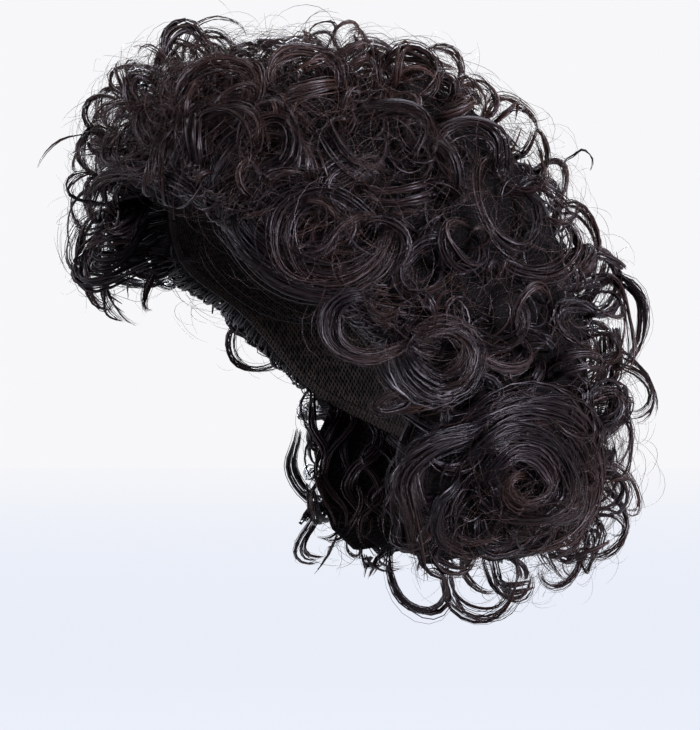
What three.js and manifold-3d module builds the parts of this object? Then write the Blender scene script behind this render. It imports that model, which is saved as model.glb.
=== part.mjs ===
import * as THREE from "three";
import { mergeVertices } from "three/addons/utils/BufferGeometryUtils.js";
import Module from "manifold-3d";

// A short curly wig in millimetres. Front is -Y, the wearer's left is +X and up is +Z.
// The origin is the inside of the crown, where the cap rests on the head.

const wasm = await Module();
wasm.setup();
const rad = THREE.MathUtils.degToRad;
const lerp = THREE.MathUtils.lerp;

// Head that the cap fits, measured from its widest level
const HEAD_HALF_WIDTH = 78;
const HEAD_HALF_LENGTH = 101;
const CROWN_HEIGHT = 96;
const NECK_REACH = 210;

// Net cap
const CAP_WALL = 1.6;
const CAP_GRID = [28, 7];

// Clearances: cap to hair, bed to bed, and the turn in degrees that a bed stays above the rim
const SEAT_GAP = 1.5;
const PARTING_GAP = 0.3;
const RIM_MARGIN = 1;

// Hair bed: mounds on its outer face, which fade where the form is narrow
const MOUND_HEIGHT = 3.5;
const MOUNDS_ROUND = 9;
const MOUND_RISE = 46;
const MOUND_FADE = 30;

// Free edges of a bed round down to a share of its depth over a share of its span
const EDGE_SPAN = 0.4;
const EDGE_DEPTH = 0.3;
const BED_SINK = 4;

// Curl locks: thickness over width, sides, degrees to a step, the tip's share of the section,
// and the way along the loop's axis from root to tip over the width
const LOCK_FLAT = 0.6;
const LOCK_SIDES = 4;
const LOCK_STEP = 40;
const TIP_SHARE = 0.45;
const LOCK_DRIFT = 0.9;

// Left three-quarter view: its turn from the front, and the turns of the form that face it
const VIEW_TURN = 70;
const NEAR_FROM = -20;
const NEAR_TO = 165;

// Hairline by turn from the front round to the back: the cap's rim and the hem of the hair over it
const HAIRLINE = [
  { turn: 0, rim: -33, hem: -25 },
  { turn: 26, rim: -37, hem: -28 },
  { turn: 40, rim: -44, hem: -40 },
  { turn: 48, rim: -57, hem: -55 },
  { turn: 56, rim: -69, hem: -70 },
  { turn: 67, rim: -81, hem: -85 },
  { turn: 79, rim: -89, hem: -96 },
  { turn: 90, rim: -108, hem: -124 },
  { turn: 105, rim: -142, hem: -150 },
  { turn: 138, rim: -167, hem: -150 },
  { turn: 180, rim: -175, hem: -150 },
];

// Outer form of the hair, level by level
const HAIR_FORM = [
  { z: 49, front: 0, back: 0, side: 0 },
  { z: 46, front: 45, back: 38, side: 38 },
  { z: 42, front: 72, back: 58, side: 60 },
  { z: 29, front: 100, back: 85, side: 82 },
  { z: 4, front: 114, back: 118, side: 104 },
  { z: -35, front: 122, back: 146, side: 120 },
  { z: -62, front: 122, back: 159, side: 126 },
  { z: -90, front: 120, back: 168, side: 128 },
  { z: -117, front: 116, back: 174, side: 127 },
  { z: -145, front: 110, back: 178, side: 124 },
  { z: -172, front: 106, back: 179, side: 118 },
  { z: -200, front: 98, back: 176, side: 110 },
  { z: -227, front: 90, back: 165, side: 98 },
  { z: -249, front: 80, back: 135, side: 82 },
];

// Partings between the beds: a point on the head's side and a level on the outer form
const CROWN_PARTING = { lat: 57, z: 28 };
const PARTINGS = {
  nape: { inner: -142, z: -150 },
  neck: { inner: -228, z: -246 },
  brow: { inner: -66, z: -80 },
};
const FORELOCK_CLEAR = 9;

// Beds of hair: the turns they span, the partings above and below, the grid and the free edges
const BEDS = [
  { name: "front_curls", span: [-40, 32], top: "crown", hem: "rim", grid: [6, 6], free: ["hem"] },
  { name: "left_side_curls", span: [32, 105], top: "crown", hem: "rim", grid: [7, 6], free: ["hem"] },
  { name: "right_side_curls", span: [-105, -40], top: "crown", hem: "rim", grid: [6, 6], free: ["hem"] },
  { name: "back_curls", span: [105, 255], top: "crown", hem: "nape", grid: [11, 6], free: [] },
  { name: "left_nape_roll", span: [105, 150], top: "nape", hem: "neck", grid: [5, 5], free: ["hem", "from"] },
  { name: "nape_curls", span: [150, 210], top: "nape", hem: "neck", grid: [4, 5], free: ["hem"] },
  { name: "right_nape_roll", span: [210, 255], top: "nape", hem: "neck", grid: [5, 5], free: ["hem", "to"] },
  { name: "forelock", span: [-50, -6], top: "rim", hem: "brow", grid: [5, 4], free: ["hem", "from", "to"] },
];
const CROWN_GRID = [22, 4];

// Curls as they lie in the left three-quarter view.
// along: from the head's axis toward the back; depth: toward the viewer, null on the near face;
// tall: height over width of the loop; start and sweep: the loop's angles, 0 to the right;
// end: radius at the tip over radius at the root; face: turn of the loop's axis off the view.
const CURL_COLUMNS = [
  "bed",
  "along",
  "z",
  "depth",
  "radius",
  "tall",
  "start",
  "sweep",
  "end",
  "face",
  "width",
];
const CURLS = [
  ["crown_curls", -53, 45, 0, 15, 1.1, -30, 240, 0.9, 0, 8],
  ["crown_curls", -53, 38, 16, 14, 1.0, -20, 220, 0.9, 15, 10],
  ["crown_curls", 8, 46, -10, 11, 1.2, 200, -220, 0.9, 0, 8],
  ["crown_curls", -18, 38, 12, 18, 0.8, 0, 180, 1.0, -10, 10],
  ["crown_curls", 36, 34, 0, 19, 0.9, 15, 160, 1.0, 10, 10],
  ["crown_curls", 73, 36, -5, 12, 1.1, -100, 280, 0.8, 0, 8],
  ["crown_curls", -5, 24, null, 20, 0.8, -20, 250, 0.8, 0, 15],
  ["crown_curls", 50, 25, null, 18, 0.8, 160, -250, 0.8, 0, 15],
  ["crown_curls", 0, 40, -42, 18, 0.8, 20, 200, 0.9, 180, 10],
  ["crown_curls", -40, 36, -46, 16, 0.9, 160, -220, 0.9, 170, 10],
  ["front_curls", -107, 17, 4, 10, 1.0, -40, 300, 0.9, 0, 7],
  ["front_curls", -82, 18, null, 14, 0.9, 100, 280, 0.8, 10, 14],
  ["front_curls", -49, 14, null, 19, 0.9, 200, -260, 0.8, 0, 15],
  ["front_curls", -112, -8, 24, 14, 1.1, 60, 260, 0.8, 20, 9],
  ["front_curls", -100, 6, -30, 15, 0.9, 20, 260, 0.8, -30, 9],
  ["left_side_curls", -38, -12, null, 21, 0.9, 230, -250, 0.8, 0, 16],
  ["left_side_curls", 47, -8, null, 22, 0.9, 210, -260, 0.8, 0, 16],
  ["left_side_curls", 23, -36, null, 17, 0.9, 30, 280, 0.8, 0, 15],
  ["left_side_curls", 8, -60, null, 29, 0.8, 20, 310, 0.8, 0, 19],
  ["left_side_curls", 30, -104, null, 15, 1.1, 60, 300, 0.9, 0, 13],
  ["left_side_curls", 67, -118, null, 20, 0.9, 90, 320, 0.7, 0, 16],
  ["left_side_curls", 55, -142, null, 17, 0.45, 60, 250, 0.8, 0, 13],
  ["left_side_curls", 62, -74, null, 20, 0.9, 40, 300, 0.8, 0, 16],
  ["back_curls", 89, -18, null, 19, 0.9, 0, 300, 0.8, 0, 15],
  ["back_curls", 91, 20, -10, 12, 1.0, -120, 290, 0.8, 0, 8],
  ["back_curls", 110, 6, -12, 16, 1.0, 200, -230, 0.9, 0, 9],
  ["back_curls", 116, -22, null, 17, 1.0, 90, 320, 0.7, 0, 15],
  ["back_curls", 137, -22, -16, 10, 1.1, 170, -290, 0.9, 0, 8],
  ["back_curls", 148, -54, -18, 11, 1.6, 120, -260, 0.9, 0, 8],
  ["back_curls", 124, -62, null, 21, 0.9, 130, 320, 0.8, 0, 16],
  ["back_curls", 164, -106, -20, 15, 1.8, 140, -260, 0.9, 0, 9],
  ["back_curls", 146, -104, null, 16, 0.8, 0, 320, 0.8, 0, 15],
  ["back_curls", 174, -142, -20, 14, 1.1, 100, -210, 0.8, 0, 8],
  ["back_curls", 98, -96, null, 20, 0.9, 120, 320, 0.8, 0, 16],
  ["back_curls", 116, -128, null, 18, 0.9, 20, 300, 0.8, 0, 16],
  ["left_nape_roll", 118, -186, null, 36, 0.85, 60, 320, 0.7, 0, 21],
  ["left_nape_roll", 82, -190, null, 30, 1.2, 65, 165, 0.9, 0, 14],
  ["left_nape_roll", 92, -208, null, 21, 1.1, 90, 220, 0.8, 0, 15],
  ["left_nape_roll", 97, -240, null, 19, 1.1, 150, 250, 0.9, 0, 14],
  ["nape_curls", 168, -172, -20, 13, 1.3, 110, -240, 0.9, 0, 8],
  ["nape_curls", 160, -214, -20, 13, 1.4, 100, -250, 0.9, 0, 8],
  ["nape_curls", 138, -236, -20, 14, 1.0, 40, -240, 0.9, 0, 8],
  ["nape_curls", 112, -242, -10, 13, 1.0, 170, 230, 0.9, 0, 8],
  ["forelock", -113, -38, 8, 12, 1.3, 75, 290, 0.8, 0, 8],
  ["forelock", -111, -76, 0, 9, 2.1, 80, 270, 0.9, 0, 7],
  ["forelock", -98, -84, -12, 14, 1.4, 110, 170, 0.9, 0, 8],
  ["forelock", -98, -56, -20, 17, 1.0, 60, 290, 0.8, -30, 9],
  ["forelock", -84, -84, -42, 14, 1.2, 60, 220, 0.8, -40, 8],
];

// Rows of curls round the sides that the view hides
const CURL_ROWS = [
  { bed: "right_side_curls", z: 6, from: -92, to: -54, count: 3, radius: 19 },
  { bed: "right_side_curls", z: -34, from: -94, to: -58, count: 3, radius: 20 },
  { bed: "right_side_curls", z: -72, from: -94, to: -68, count: 2, radius: 22 },
  { bed: "right_side_curls", z: -112, from: -98, to: -90, count: 1, radius: 18 },
  { bed: "crown_curls", z: 36, from: -100, to: 10, count: 4, radius: 17 },
  { bed: "crown_curls", z: 36, from: 190, to: 240, count: 3, radius: 17 },
  { bed: "crown_curls", z: 41, from: 30, to: 330, count: 5, radius: 15 },
  { bed: "back_curls", z: 6, from: 178, to: 244, count: 4, radius: 18 },
  { bed: "back_curls", z: -32, from: 174, to: 246, count: 4, radius: 20 },
  { bed: "back_curls", z: -74, from: 176, to: 246, count: 4, radius: 20 },
  { bed: "back_curls", z: -118, from: 174, to: 244, count: 4, radius: 20 },
  { bed: "nape_curls", z: -182, from: 176, to: 196, count: 2, radius: 19 },
  { bed: "nape_curls", z: -226, from: 182, to: 200, count: 1, radius: 18 },
  { bed: "right_nape_roll", z: -184, from: 224, to: 240, count: 1, radius: 30 },
  { bed: "right_nape_roll", z: -226, from: 222, to: 240, count: 2, radius: 18 },
];

// Shape that the curls of a row share; each pair holds the values of its even and odd curls
const ROW_CURL = { tall: 0.9, end: 0.75, width: 16, start: 40, startStep: 110, sizes: 3 };
const ROW_LEVELS = [-5, 5];
const ROW_TURNS = [-10, 14];
const ROW_SWEEPS = [-300, 310];

// Colours, and roughness from 0 to 1
const HAIR = { color: 0x1e1817, roughness: 0.45, metalness: 0 };
const NET = { color: 0x2a2120, roughness: 0.8, metalness: 0 };

// Points nearer than this are one point
const MERGE_REACH = 1e-3;

// Turns brought to the range 0 to 180, the same on both sides
function fromFront(turn) {
  return Math.abs(THREE.MathUtils.euclideanModulo(turn + 180, 360) - 180);
}

// A named column of a table at a key, between its rows
function between(table, key, value, column) {
  const falling = table[0][key] > table[table.length - 1][key];
  let row = 0;
  while (row < table.length - 2 && (falling ? value < table[row + 1][key] : value > table[row + 1][key])) {
    row += 1;
  }
  const low = table[row];
  const high = table[row + 1];
  const share = THREE.MathUtils.clamp((value - low[key]) / (high[key] - low[key]), 0, 1);
  return lerp(low[column], high[column], share);
}

// Head form
function headLat(z) {
  const rise = z + CROWN_HEIGHT;
  return Math.asin(THREE.MathUtils.clamp(rise / (rise > 0 ? CROWN_HEIGHT : NECK_REACH), -1, 1));
}

function headPoint(turn, lat, out) {
  const height = lat > 0 ? CROWN_HEIGHT + out : NECK_REACH + out;
  return new THREE.Vector3(
    (HEAD_HALF_WIDTH + out) * Math.cos(lat) * Math.sin(rad(turn)),
    -(HEAD_HALF_LENGTH + out) * Math.cos(lat) * Math.cos(rad(turn)),
    height * Math.sin(lat) - CROWN_HEIGHT,
  );
}

// Outer form of the hair with its mounds
function formPoint(turn, z, out) {
  const reach = Math.cos(rad(turn)) > 0 ? "front" : "back";
  const side = between(HAIR_FORM, "z", z, "side");
  const length = between(HAIR_FORM, "z", z, reach);
  const round = Math.sin(rad(turn * MOUNDS_ROUND) + z / MOUND_RISE);
  const wave = round * Math.cos((2 * Math.PI * z) / MOUND_RISE);
  const swell = out + (MOUND_HEIGHT * wave * side) / (side + MOUND_FADE);
  return new THREE.Vector3(
    (side + swell * Math.min(1, side)) * Math.sin(rad(turn)),
    -(length + swell * Math.min(1, length)) * Math.cos(rad(turn)),
    z,
  );
}

// Solids from grids and rings
function toSolid(points, faces) {
  const flat = [];
  for (const point of points) {
    flat.push(point.x, point.y, point.z);
  }
  const geometry = new THREE.BufferGeometry();
  geometry.setAttribute("position", new THREE.Float32BufferAttribute(flat, 3));
  geometry.setIndex(faces.flat());
  const joined = mergeVertices(geometry, MERGE_REACH);
  const index = Array.from(joined.index.array);
  const triangles = [];
  for (let i = 0; i < index.length; i += 3) {
    const [a, b, c] = index.slice(i, i + 3);
    if (a !== b && b !== c && c !== a) {
      triangles.push(a, b, c);
    }
  }
  const mesh = new wasm.Mesh({
    numProp: 3,
    vertProperties: new Float32Array(joined.attributes.position.array),
    triVerts: new Uint32Array(triangles),
  });
  return new wasm.Manifold(mesh);
}

// A thick sheet between an outer and an inner grid; a ring has no end walls
function sheet(outer, inner, [columns, rows], ring) {
  const points = [];
  const faces = [];
  for (const side of [outer, inner]) {
    for (let i = 0; i <= columns; i += 1) {
      for (let j = 0; j <= rows; j += 1) {
        points.push(side((ring && i === columns ? 0 : i) / columns, j / rows));
      }
    }
  }
  const at = (layer, i, j) => (layer * (columns + 1) + i) * (rows + 1) + j;
  const quad = (a, b, c, d) => faces.push([a, b, c], [a, c, d]);
  for (let i = 0; i < columns; i += 1) {
    for (let j = 0; j < rows; j += 1) {
      quad(at(0, i, j), at(0, i + 1, j), at(0, i + 1, j + 1), at(0, i, j + 1));
      quad(at(1, i, j), at(1, i, j + 1), at(1, i + 1, j + 1), at(1, i + 1, j));
    }
    quad(at(0, i, 0), at(1, i, 0), at(1, i + 1, 0), at(0, i + 1, 0));
    quad(at(0, i, rows), at(0, i + 1, rows), at(1, i + 1, rows), at(1, i, rows));
  }
  for (let j = 0; j < rows && !ring; j += 1) {
    quad(at(0, 0, j), at(0, 0, j + 1), at(1, 0, j + 1), at(1, 0, j));
    quad(at(0, columns, j), at(1, columns, j), at(1, columns, j + 1), at(0, columns, j + 1));
  }
  return toSolid(points, faces);
}

// Partings: the inner latitude and the outer level at a turn
function parting(name, turn) {
  if (name === "crown") {
    return { lat: rad(CROWN_PARTING.lat), z: CROWN_PARTING.z };
  }
  if (name === "rim") {
    const rim = between(HAIRLINE, "turn", fromFront(turn), "rim");
    const hem = between(HAIRLINE, "turn", fromFront(turn), "hem");
    return { lat: headLat(rim) + rad(RIM_MARGIN), z: hem };
  }
  return { lat: headLat(PARTINGS[name].inner) + rad(RIM_MARGIN), z: PARTINGS[name].z };
}

// Depth of a bed at a share of its span from a free edge
function edgeShare(span) {
  const away = 1 - Math.min(1, span / EDGE_SPAN);
  return lerp(EDGE_DEPTH, 1, Math.sqrt(1 - away * away));
}

// A bed of hair; grow widens it past the partings to give the cutter of its neighbours
function bedSolid(bed, grow) {
  const inset = PARTING_GAP - grow;
  const angle = THREE.MathUtils.radToDeg(inset / HEAD_HALF_LENGTH);
  const seat = CAP_WALL + SEAT_GAP - grow;
  const turnAt = (s) => lerp(bed.span[0] + angle, bed.span[1] - angle, s);
  const clear = (t) => seat + (bed.name === "forelock" ? FORELOCK_CLEAR * t : 0);
  const inner = (s, t) => {
    const turn = turnAt(s);
    const slip = inset / CROWN_HEIGHT;
    const lat = lerp(parting(bed.top, turn).lat - slip, parting(bed.hem, turn).lat + slip, t);
    return headPoint(turn, lat, clear(t));
  };
  const outer = (s, t) => {
    const turn = turnAt(s);
    const z = lerp(parting(bed.top, turn).z - inset, parting(bed.hem, turn).z + inset, t);
    const fromEdge = { hem: 1 - t, from: s, to: 1 - s };
    const shares = bed.free.map((edge) => edgeShare(fromEdge[edge]));
    const depth = shares.reduce((a, b) => a * b, 1);
    return inner(s, t).lerp(formPoint(turn, z, grow - BED_SINK), depth);
  };
  return sheet((s, t) => outer(s, 1 - t), (s, t) => inner(s, 1 - t), bed.grid, false);
}

function crownSolid(grow) {
  const inset = PARTING_GAP - grow;
  const outer = (s, t) => {
    const z = lerp(CROWN_PARTING.z + inset, HAIR_FORM[0].z, Math.sin((t * Math.PI) / 2));
    return formPoint(360 * s, z, grow - BED_SINK);
  };
  const inner = (s, t) => {
    const low = rad(CROWN_PARTING.lat) + inset / CROWN_HEIGHT;
    return headPoint(360 * s, lerp(low, Math.PI / 2, t), CAP_WALL + SEAT_GAP - grow);
  };
  return sheet(outer, inner, CROWN_GRID, true);
}

// Nearest point of the outer form on a line of sight in the three-quarter view
const VIEW = new THREE.Vector3(Math.sin(rad(VIEW_TURN)), -Math.cos(rad(VIEW_TURN)), 0);
const ALONG = new THREE.Vector3(Math.cos(rad(VIEW_TURN)), Math.sin(rad(VIEW_TURN)), 0);

function nearDepth(along, z) {
  let best = Infinity;
  let depth = 0;
  for (let turn = NEAR_FROM; turn <= NEAR_TO; turn += 1) {
    const point = formPoint(turn, z, 0);
    const miss = Math.abs(point.dot(ALONG) - along);
    if (miss < best) {
      best = miss;
      depth = point.dot(VIEW);
    }
  }
  return depth;
}

// A curl lock: a tapering flat lock swept round its loop
function lockSolid(curl, grow) {
  const axis = new THREE.Vector3(Math.sin(rad(curl.turn)), -Math.cos(rad(curl.turn)), 0);
  const across = new THREE.Vector3(Math.cos(rad(curl.turn)), Math.sin(rad(curl.turn)), 0);
  const steps = Math.ceil(Math.abs(curl.sweep) / LOCK_STEP);
  const points = [];
  const faces = [];
  for (let i = 0; i <= steps; i += 1) {
    const s = i / steps;
    const angle = rad(curl.start + curl.sweep * s);
    const radius = curl.radius * lerp(1, curl.end, s);
    const outward = across.clone().multiplyScalar(Math.cos(angle));
    outward.z += Math.sin(angle) * curl.tall;
    const centre = curl.centre.clone().addScaledVector(outward, radius);
    centre.addScaledVector(axis, curl.width * LOCK_DRIFT * (s - 0.5));
    const normal = across.clone().multiplyScalar(Math.cos(angle) * curl.tall);
    normal.z += Math.sin(angle);
    normal.normalize();
    const share = lerp(1, TIP_SHARE, s * s);
    for (let k = 0; k < LOCK_SIDES; k += 1) {
      const around = (2 * Math.PI * k) / LOCK_SIDES;
      const wide = (curl.width / 2 + grow) * share * Math.cos(around);
      const thick = ((curl.width * LOCK_FLAT) / 2 + grow) * share * Math.sin(around);
      points.push(centre.clone().addScaledVector(axis, wide).addScaledVector(normal, thick));
    }
  }
  const forward = curl.sweep > 0;
  const face = (a, b, c) => faces.push(forward ? [a, b, c] : [a, c, b]);
  for (let i = 0; i < steps; i += 1) {
    for (let k = 0; k < LOCK_SIDES; k += 1) {
      const next = (k + 1) % LOCK_SIDES;
      const [a, b] = [i * LOCK_SIDES + k, i * LOCK_SIDES + next];
      face(a, b, b + LOCK_SIDES);
      face(a, b + LOCK_SIDES, a + LOCK_SIDES);
    }
  }
  const last = steps * LOCK_SIDES;
  for (let k = 1; k < LOCK_SIDES - 1; k += 1) {
    face(0, k + 1, k);
    face(last, last + k, last + k + 1);
  }
  return toSolid(points, faces);
}

// Every curl with its place and axis
function placedCurls() {
  const placed = [];
  for (const row of CURLS) {
    const curl = Object.fromEntries(CURL_COLUMNS.map((column, i) => [column, row[i]]));
    const depth = curl.depth === null ? nearDepth(curl.along, curl.z) : curl.depth;
    const centre = ALONG.clone().multiplyScalar(curl.along).addScaledVector(VIEW, depth);
    centre.z = curl.z;
    placed.push({ ...curl, centre, turn: VIEW_TURN + curl.face });
  }
  for (const row of CURL_ROWS) {
    for (let i = 0; i < row.count; i += 1) {
      const share = row.count > 1 ? i / (row.count - 1) : 0.5;
      const turn = lerp(row.from, row.to, share);
      placed.push({
        ...ROW_CURL,
        bed: row.bed,
        centre: formPoint(turn, row.z + ROW_LEVELS[i % 2], 0),
        turn: turn + ROW_TURNS[i % 2],
        radius: row.radius - (i % ROW_CURL.sizes),
        start: ROW_CURL.start + ROW_CURL.startStep * i + row.z,
        sweep: ROW_SWEEPS[i % 2],
      });
    }
  }
  return placed;
}

// The largest body of a solid
function mainBody(solid) {
  const bodies = solid.decompose();
  bodies.sort((a, b) => b.volume() - a.volume());
  return bodies[0];
}

function toMesh(solid, name, finish) {
  const mesh = solid.getMesh();
  const geometry = new THREE.BufferGeometry();
  geometry.setAttribute("position", new THREE.Float32BufferAttribute(mesh.vertProperties, 3));
  geometry.setIndex(Array.from(mesh.triVerts));
  geometry.computeVertexNormals();
  const node = new THREE.Mesh(geometry, new THREE.MeshStandardMaterial(finish));
  node.name = name;
  return node;
}

// Cap
function capSolid() {
  const wall = (out) => (s, t) => {
    const turn = 360 * s;
    const rim = headLat(between(HAIRLINE, "turn", fromFront(turn), "rim"));
    return headPoint(turn, lerp(rim, Math.PI / 2, t), out);
  };
  return sheet(wall(CAP_WALL), wall(0), CAP_GRID, true);
}

// Assembly: each bed with its curls, cut clear of the beds and curls before it
const wig = new THREE.Group();
wig.name = "curly_wig";
wig.add(toMesh(capSolid(), "net_cap", NET));

const beds = BEDS.map((bed) => ({
  name: bed.name,
  solid: bedSolid(bed, 0),
  cutter: bedSolid(bed, PARTING_GAP),
}));
beds.push({ name: "crown_curls", solid: crownSolid(0), cutter: crownSolid(PARTING_GAP) });
const curls = placedCurls();
const cutters = [];
const taken = [];
for (const bed of beds) {
  const own = curls.filter((curl) => curl.bed === bed.name);
  const others = beds.filter((other) => other !== bed).map((other) => other.cutter);
  const locks = wasm.Manifold.union(own.map((curl) => lockSolid(curl, 0)));
  const clear = wasm.Manifold.difference([locks, ...others, ...taken]);
  const base = wasm.Manifold.difference([bed.solid, ...cutters]);
  wig.add(toMesh(mainBody(base.add(clear)), bed.name, HAIR));
  cutters.push(bed.cutter);
  taken.push(...own.map((curl) => lockSolid(curl, PARTING_GAP)));
}

export default wig;
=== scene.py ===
# %% [markdown]
# # A curly wig
# This lesson dresses the packed solids of a wig in hair. The cap becomes a net, and each bed of
# hair becomes a dark under-layer with locks, single hairs and frizz over it. A hair system could
# grow the strands, but meshes made from arrays stay solid, light and the same on every run.

# %% Load the packed wig
import math
from collections import namedtuple

import bpy
import numpy as np
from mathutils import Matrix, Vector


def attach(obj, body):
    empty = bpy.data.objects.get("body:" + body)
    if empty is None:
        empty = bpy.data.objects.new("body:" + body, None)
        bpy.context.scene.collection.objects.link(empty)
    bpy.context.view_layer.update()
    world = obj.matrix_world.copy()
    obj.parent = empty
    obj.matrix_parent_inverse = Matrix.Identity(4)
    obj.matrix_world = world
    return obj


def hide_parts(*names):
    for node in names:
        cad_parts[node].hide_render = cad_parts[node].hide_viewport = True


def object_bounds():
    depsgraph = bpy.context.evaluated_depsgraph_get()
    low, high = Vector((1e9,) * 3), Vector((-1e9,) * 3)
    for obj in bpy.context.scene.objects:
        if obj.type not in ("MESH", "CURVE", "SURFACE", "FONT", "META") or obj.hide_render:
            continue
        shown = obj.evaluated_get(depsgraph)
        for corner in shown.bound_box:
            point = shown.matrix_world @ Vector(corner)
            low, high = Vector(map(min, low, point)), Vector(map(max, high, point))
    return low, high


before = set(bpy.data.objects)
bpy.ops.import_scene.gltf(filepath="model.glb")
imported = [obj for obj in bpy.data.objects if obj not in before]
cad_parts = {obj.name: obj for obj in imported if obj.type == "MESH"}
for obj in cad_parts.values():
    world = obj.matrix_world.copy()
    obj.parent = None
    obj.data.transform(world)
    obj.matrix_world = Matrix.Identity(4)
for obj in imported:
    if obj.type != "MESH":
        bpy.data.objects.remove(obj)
CAD_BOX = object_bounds()
print("nodes:", sorted(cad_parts))

# %% [markdown]
# ## Sizes
# Hair is easiest to measure in millimetres, so the tables use them and MM turns them into metres
# when a mesh is made. A turn is counted in degrees from the front, through the left side at 90, to
# the back at 180. The cap's form, the hairline and the outer form of the hair are the ones that the
# solids have. The meshes of the solids could be measured instead, but formulas give any point.

# %% Cap and hairline
MM = 0.001
HALF_TURN = 180.0
FULL_TURN = 360.0
CAP_HALF_WIDTH = 78.0
CAP_HALF_LENGTH = 101.0
CROWN_HEIGHT = 96.0
NECK_REACH = 210.0
CAP_WALL = 1.6

HAIRLINE = np.array([  # turn, rim of the cap, hem of the hair
    (0, -33, -25), (26, -37, -28), (40, -44, -40), (48, -57, -55), (56, -69, -70), (67, -81, -85),
    (79, -89, -96), (90, -108, -124), (105, -142, -150), (138, -167, -150), (180, -175, -150),
], float)


def from_front(turn):
    return np.abs((np.asarray(turn, float) + HALF_TURN) % FULL_TURN - HALF_TURN)


def rim_level(turn):
    return np.interp(from_front(turn), HAIRLINE[:, 0], HAIRLINE[:, 1])


def hem_level(turn):
    return np.interp(from_front(turn), HAIRLINE[:, 0], HAIRLINE[:, 2])


def cap_lat(z):
    rise = np.asarray(z, float) + CROWN_HEIGHT
    return np.arcsin(np.clip(rise / np.where(rise > 0, CROWN_HEIGHT, NECK_REACH), -1, 1))


def cap_point(turn, lat, out):
    angle = np.radians(turn)
    height = np.where(np.asarray(lat) > 0, CROWN_HEIGHT, NECK_REACH) + out
    x = (CAP_HALF_WIDTH + out) * np.cos(lat) * np.sin(angle)
    y = -(CAP_HALF_LENGTH + out) * np.cos(lat) * np.cos(angle)
    return np.stack(np.broadcast_arrays(x, y, height * np.sin(lat) - CROWN_HEIGHT), -1)


print("rim at the front and at the nape:", rim_level(0), rim_level(180))

# %% Outer form of the hair
HAIR_FORM = np.array([  # z, front, back, side
    (-249, 80, 135, 82), (-227, 90, 165, 98), (-200, 98, 176, 110), (-172, 106, 179, 118),
    (-145, 110, 178, 124), (-117, 116, 174, 127), (-90, 120, 168, 128), (-62, 122, 159, 126),
    (-35, 122, 146, 120), (4, 114, 118, 104), (29, 100, 85, 82), (42, 72, 58, 60), (46, 45, 38, 38),
    (49, 0, 0, 0),
], float)
HEART = np.array([0.0, 15.0, -90.0])  # middle of the hair, which every lock grows away from
NORMAL_RISE = 2.0
NORMAL_TURN = 1.0
TINY = 1e-9


def form_point(turn, z, out=0.0):
    angle = np.radians(turn)
    level = np.clip(z, HAIR_FORM[0, 0], HAIR_FORM[-1, 0])
    front, back, side = (np.interp(level, HAIR_FORM[:, 0], HAIR_FORM[:, k]) for k in (1, 2, 3))
    length = np.where(np.cos(angle) > 0, front, back)
    x = (side + out) * np.sin(angle)
    y = -(length + out) * np.cos(angle)
    return np.stack(np.broadcast_arrays(x, y, np.asarray(z, float)), -1)


def unit(vectors):
    length = np.linalg.norm(vectors, axis=-1, keepdims=True)
    return vectors / np.maximum(length, TINY)


def form_normal(turn, z):
    level = np.clip(z, HAIR_FORM[0, 0] + NORMAL_RISE, HAIR_FORM[-1, 0] - NORMAL_RISE)
    around = form_point(turn + NORMAL_TURN, level) - form_point(turn - NORMAL_TURN, level)
    upward = form_point(turn, level + NORMAL_RISE) - form_point(turn, level - NORMAL_RISE)
    return unit(np.cross(around, upward))


print("normal at the left side:", form_normal(90.0, -60.0).round(2))

# %% [markdown]
# ## Shader expressions
# A material is a small program, so it reads best as one. Tint wraps a node's output, and the usual
# signs then add Math nodes, also where a plain number stands first, as in 1 - mask.

# %% Sockets with signs
class Tint:
    def __init__(self, recipe, socket):
        self.recipe = recipe
        self.socket = socket

    def maths(self, operation, first, second):
        return self.recipe.node("ShaderNodeMath", {"operation": operation}, {0: first, 1: second})

    def __add__(self, other):
        return self.maths("ADD", self, other)

    def __sub__(self, other):
        return self.maths("SUBTRACT", self, other)

    def __rsub__(self, other):
        return self.maths("SUBTRACT", other, self)

    def __mul__(self, other):
        return self.maths("MULTIPLY", self, other)

    def __pow__(self, other):
        return self.maths("POWER", self, other)

    def __rpow__(self, other):
        return self.maths("POWER", other, self)

    __radd__ = __add__
    __rmul__ = __mul__


print("signs with a number first:", [name for name in vars(Tint) if name.startswith("__r")])

# %% [markdown]
# ## Recipes and finishes
# Materials and the world both hold a tree of nodes. Nodes could be placed and linked by hand in the
# editor, but code repeats them without slips. A recipe adds any node by one method, which takes the
# node's type, its settings and what goes into its sockets. A finish is a recipe that starts a new
# material, and its paint method sets or links the sockets of the shader itself.

# %% Recipes
MIX_SHARE, MIX_FIRST, MIX_SECOND, MIX_COLOUR = 0, 6, 7, 2  # colour sockets of a Mix node


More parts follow.
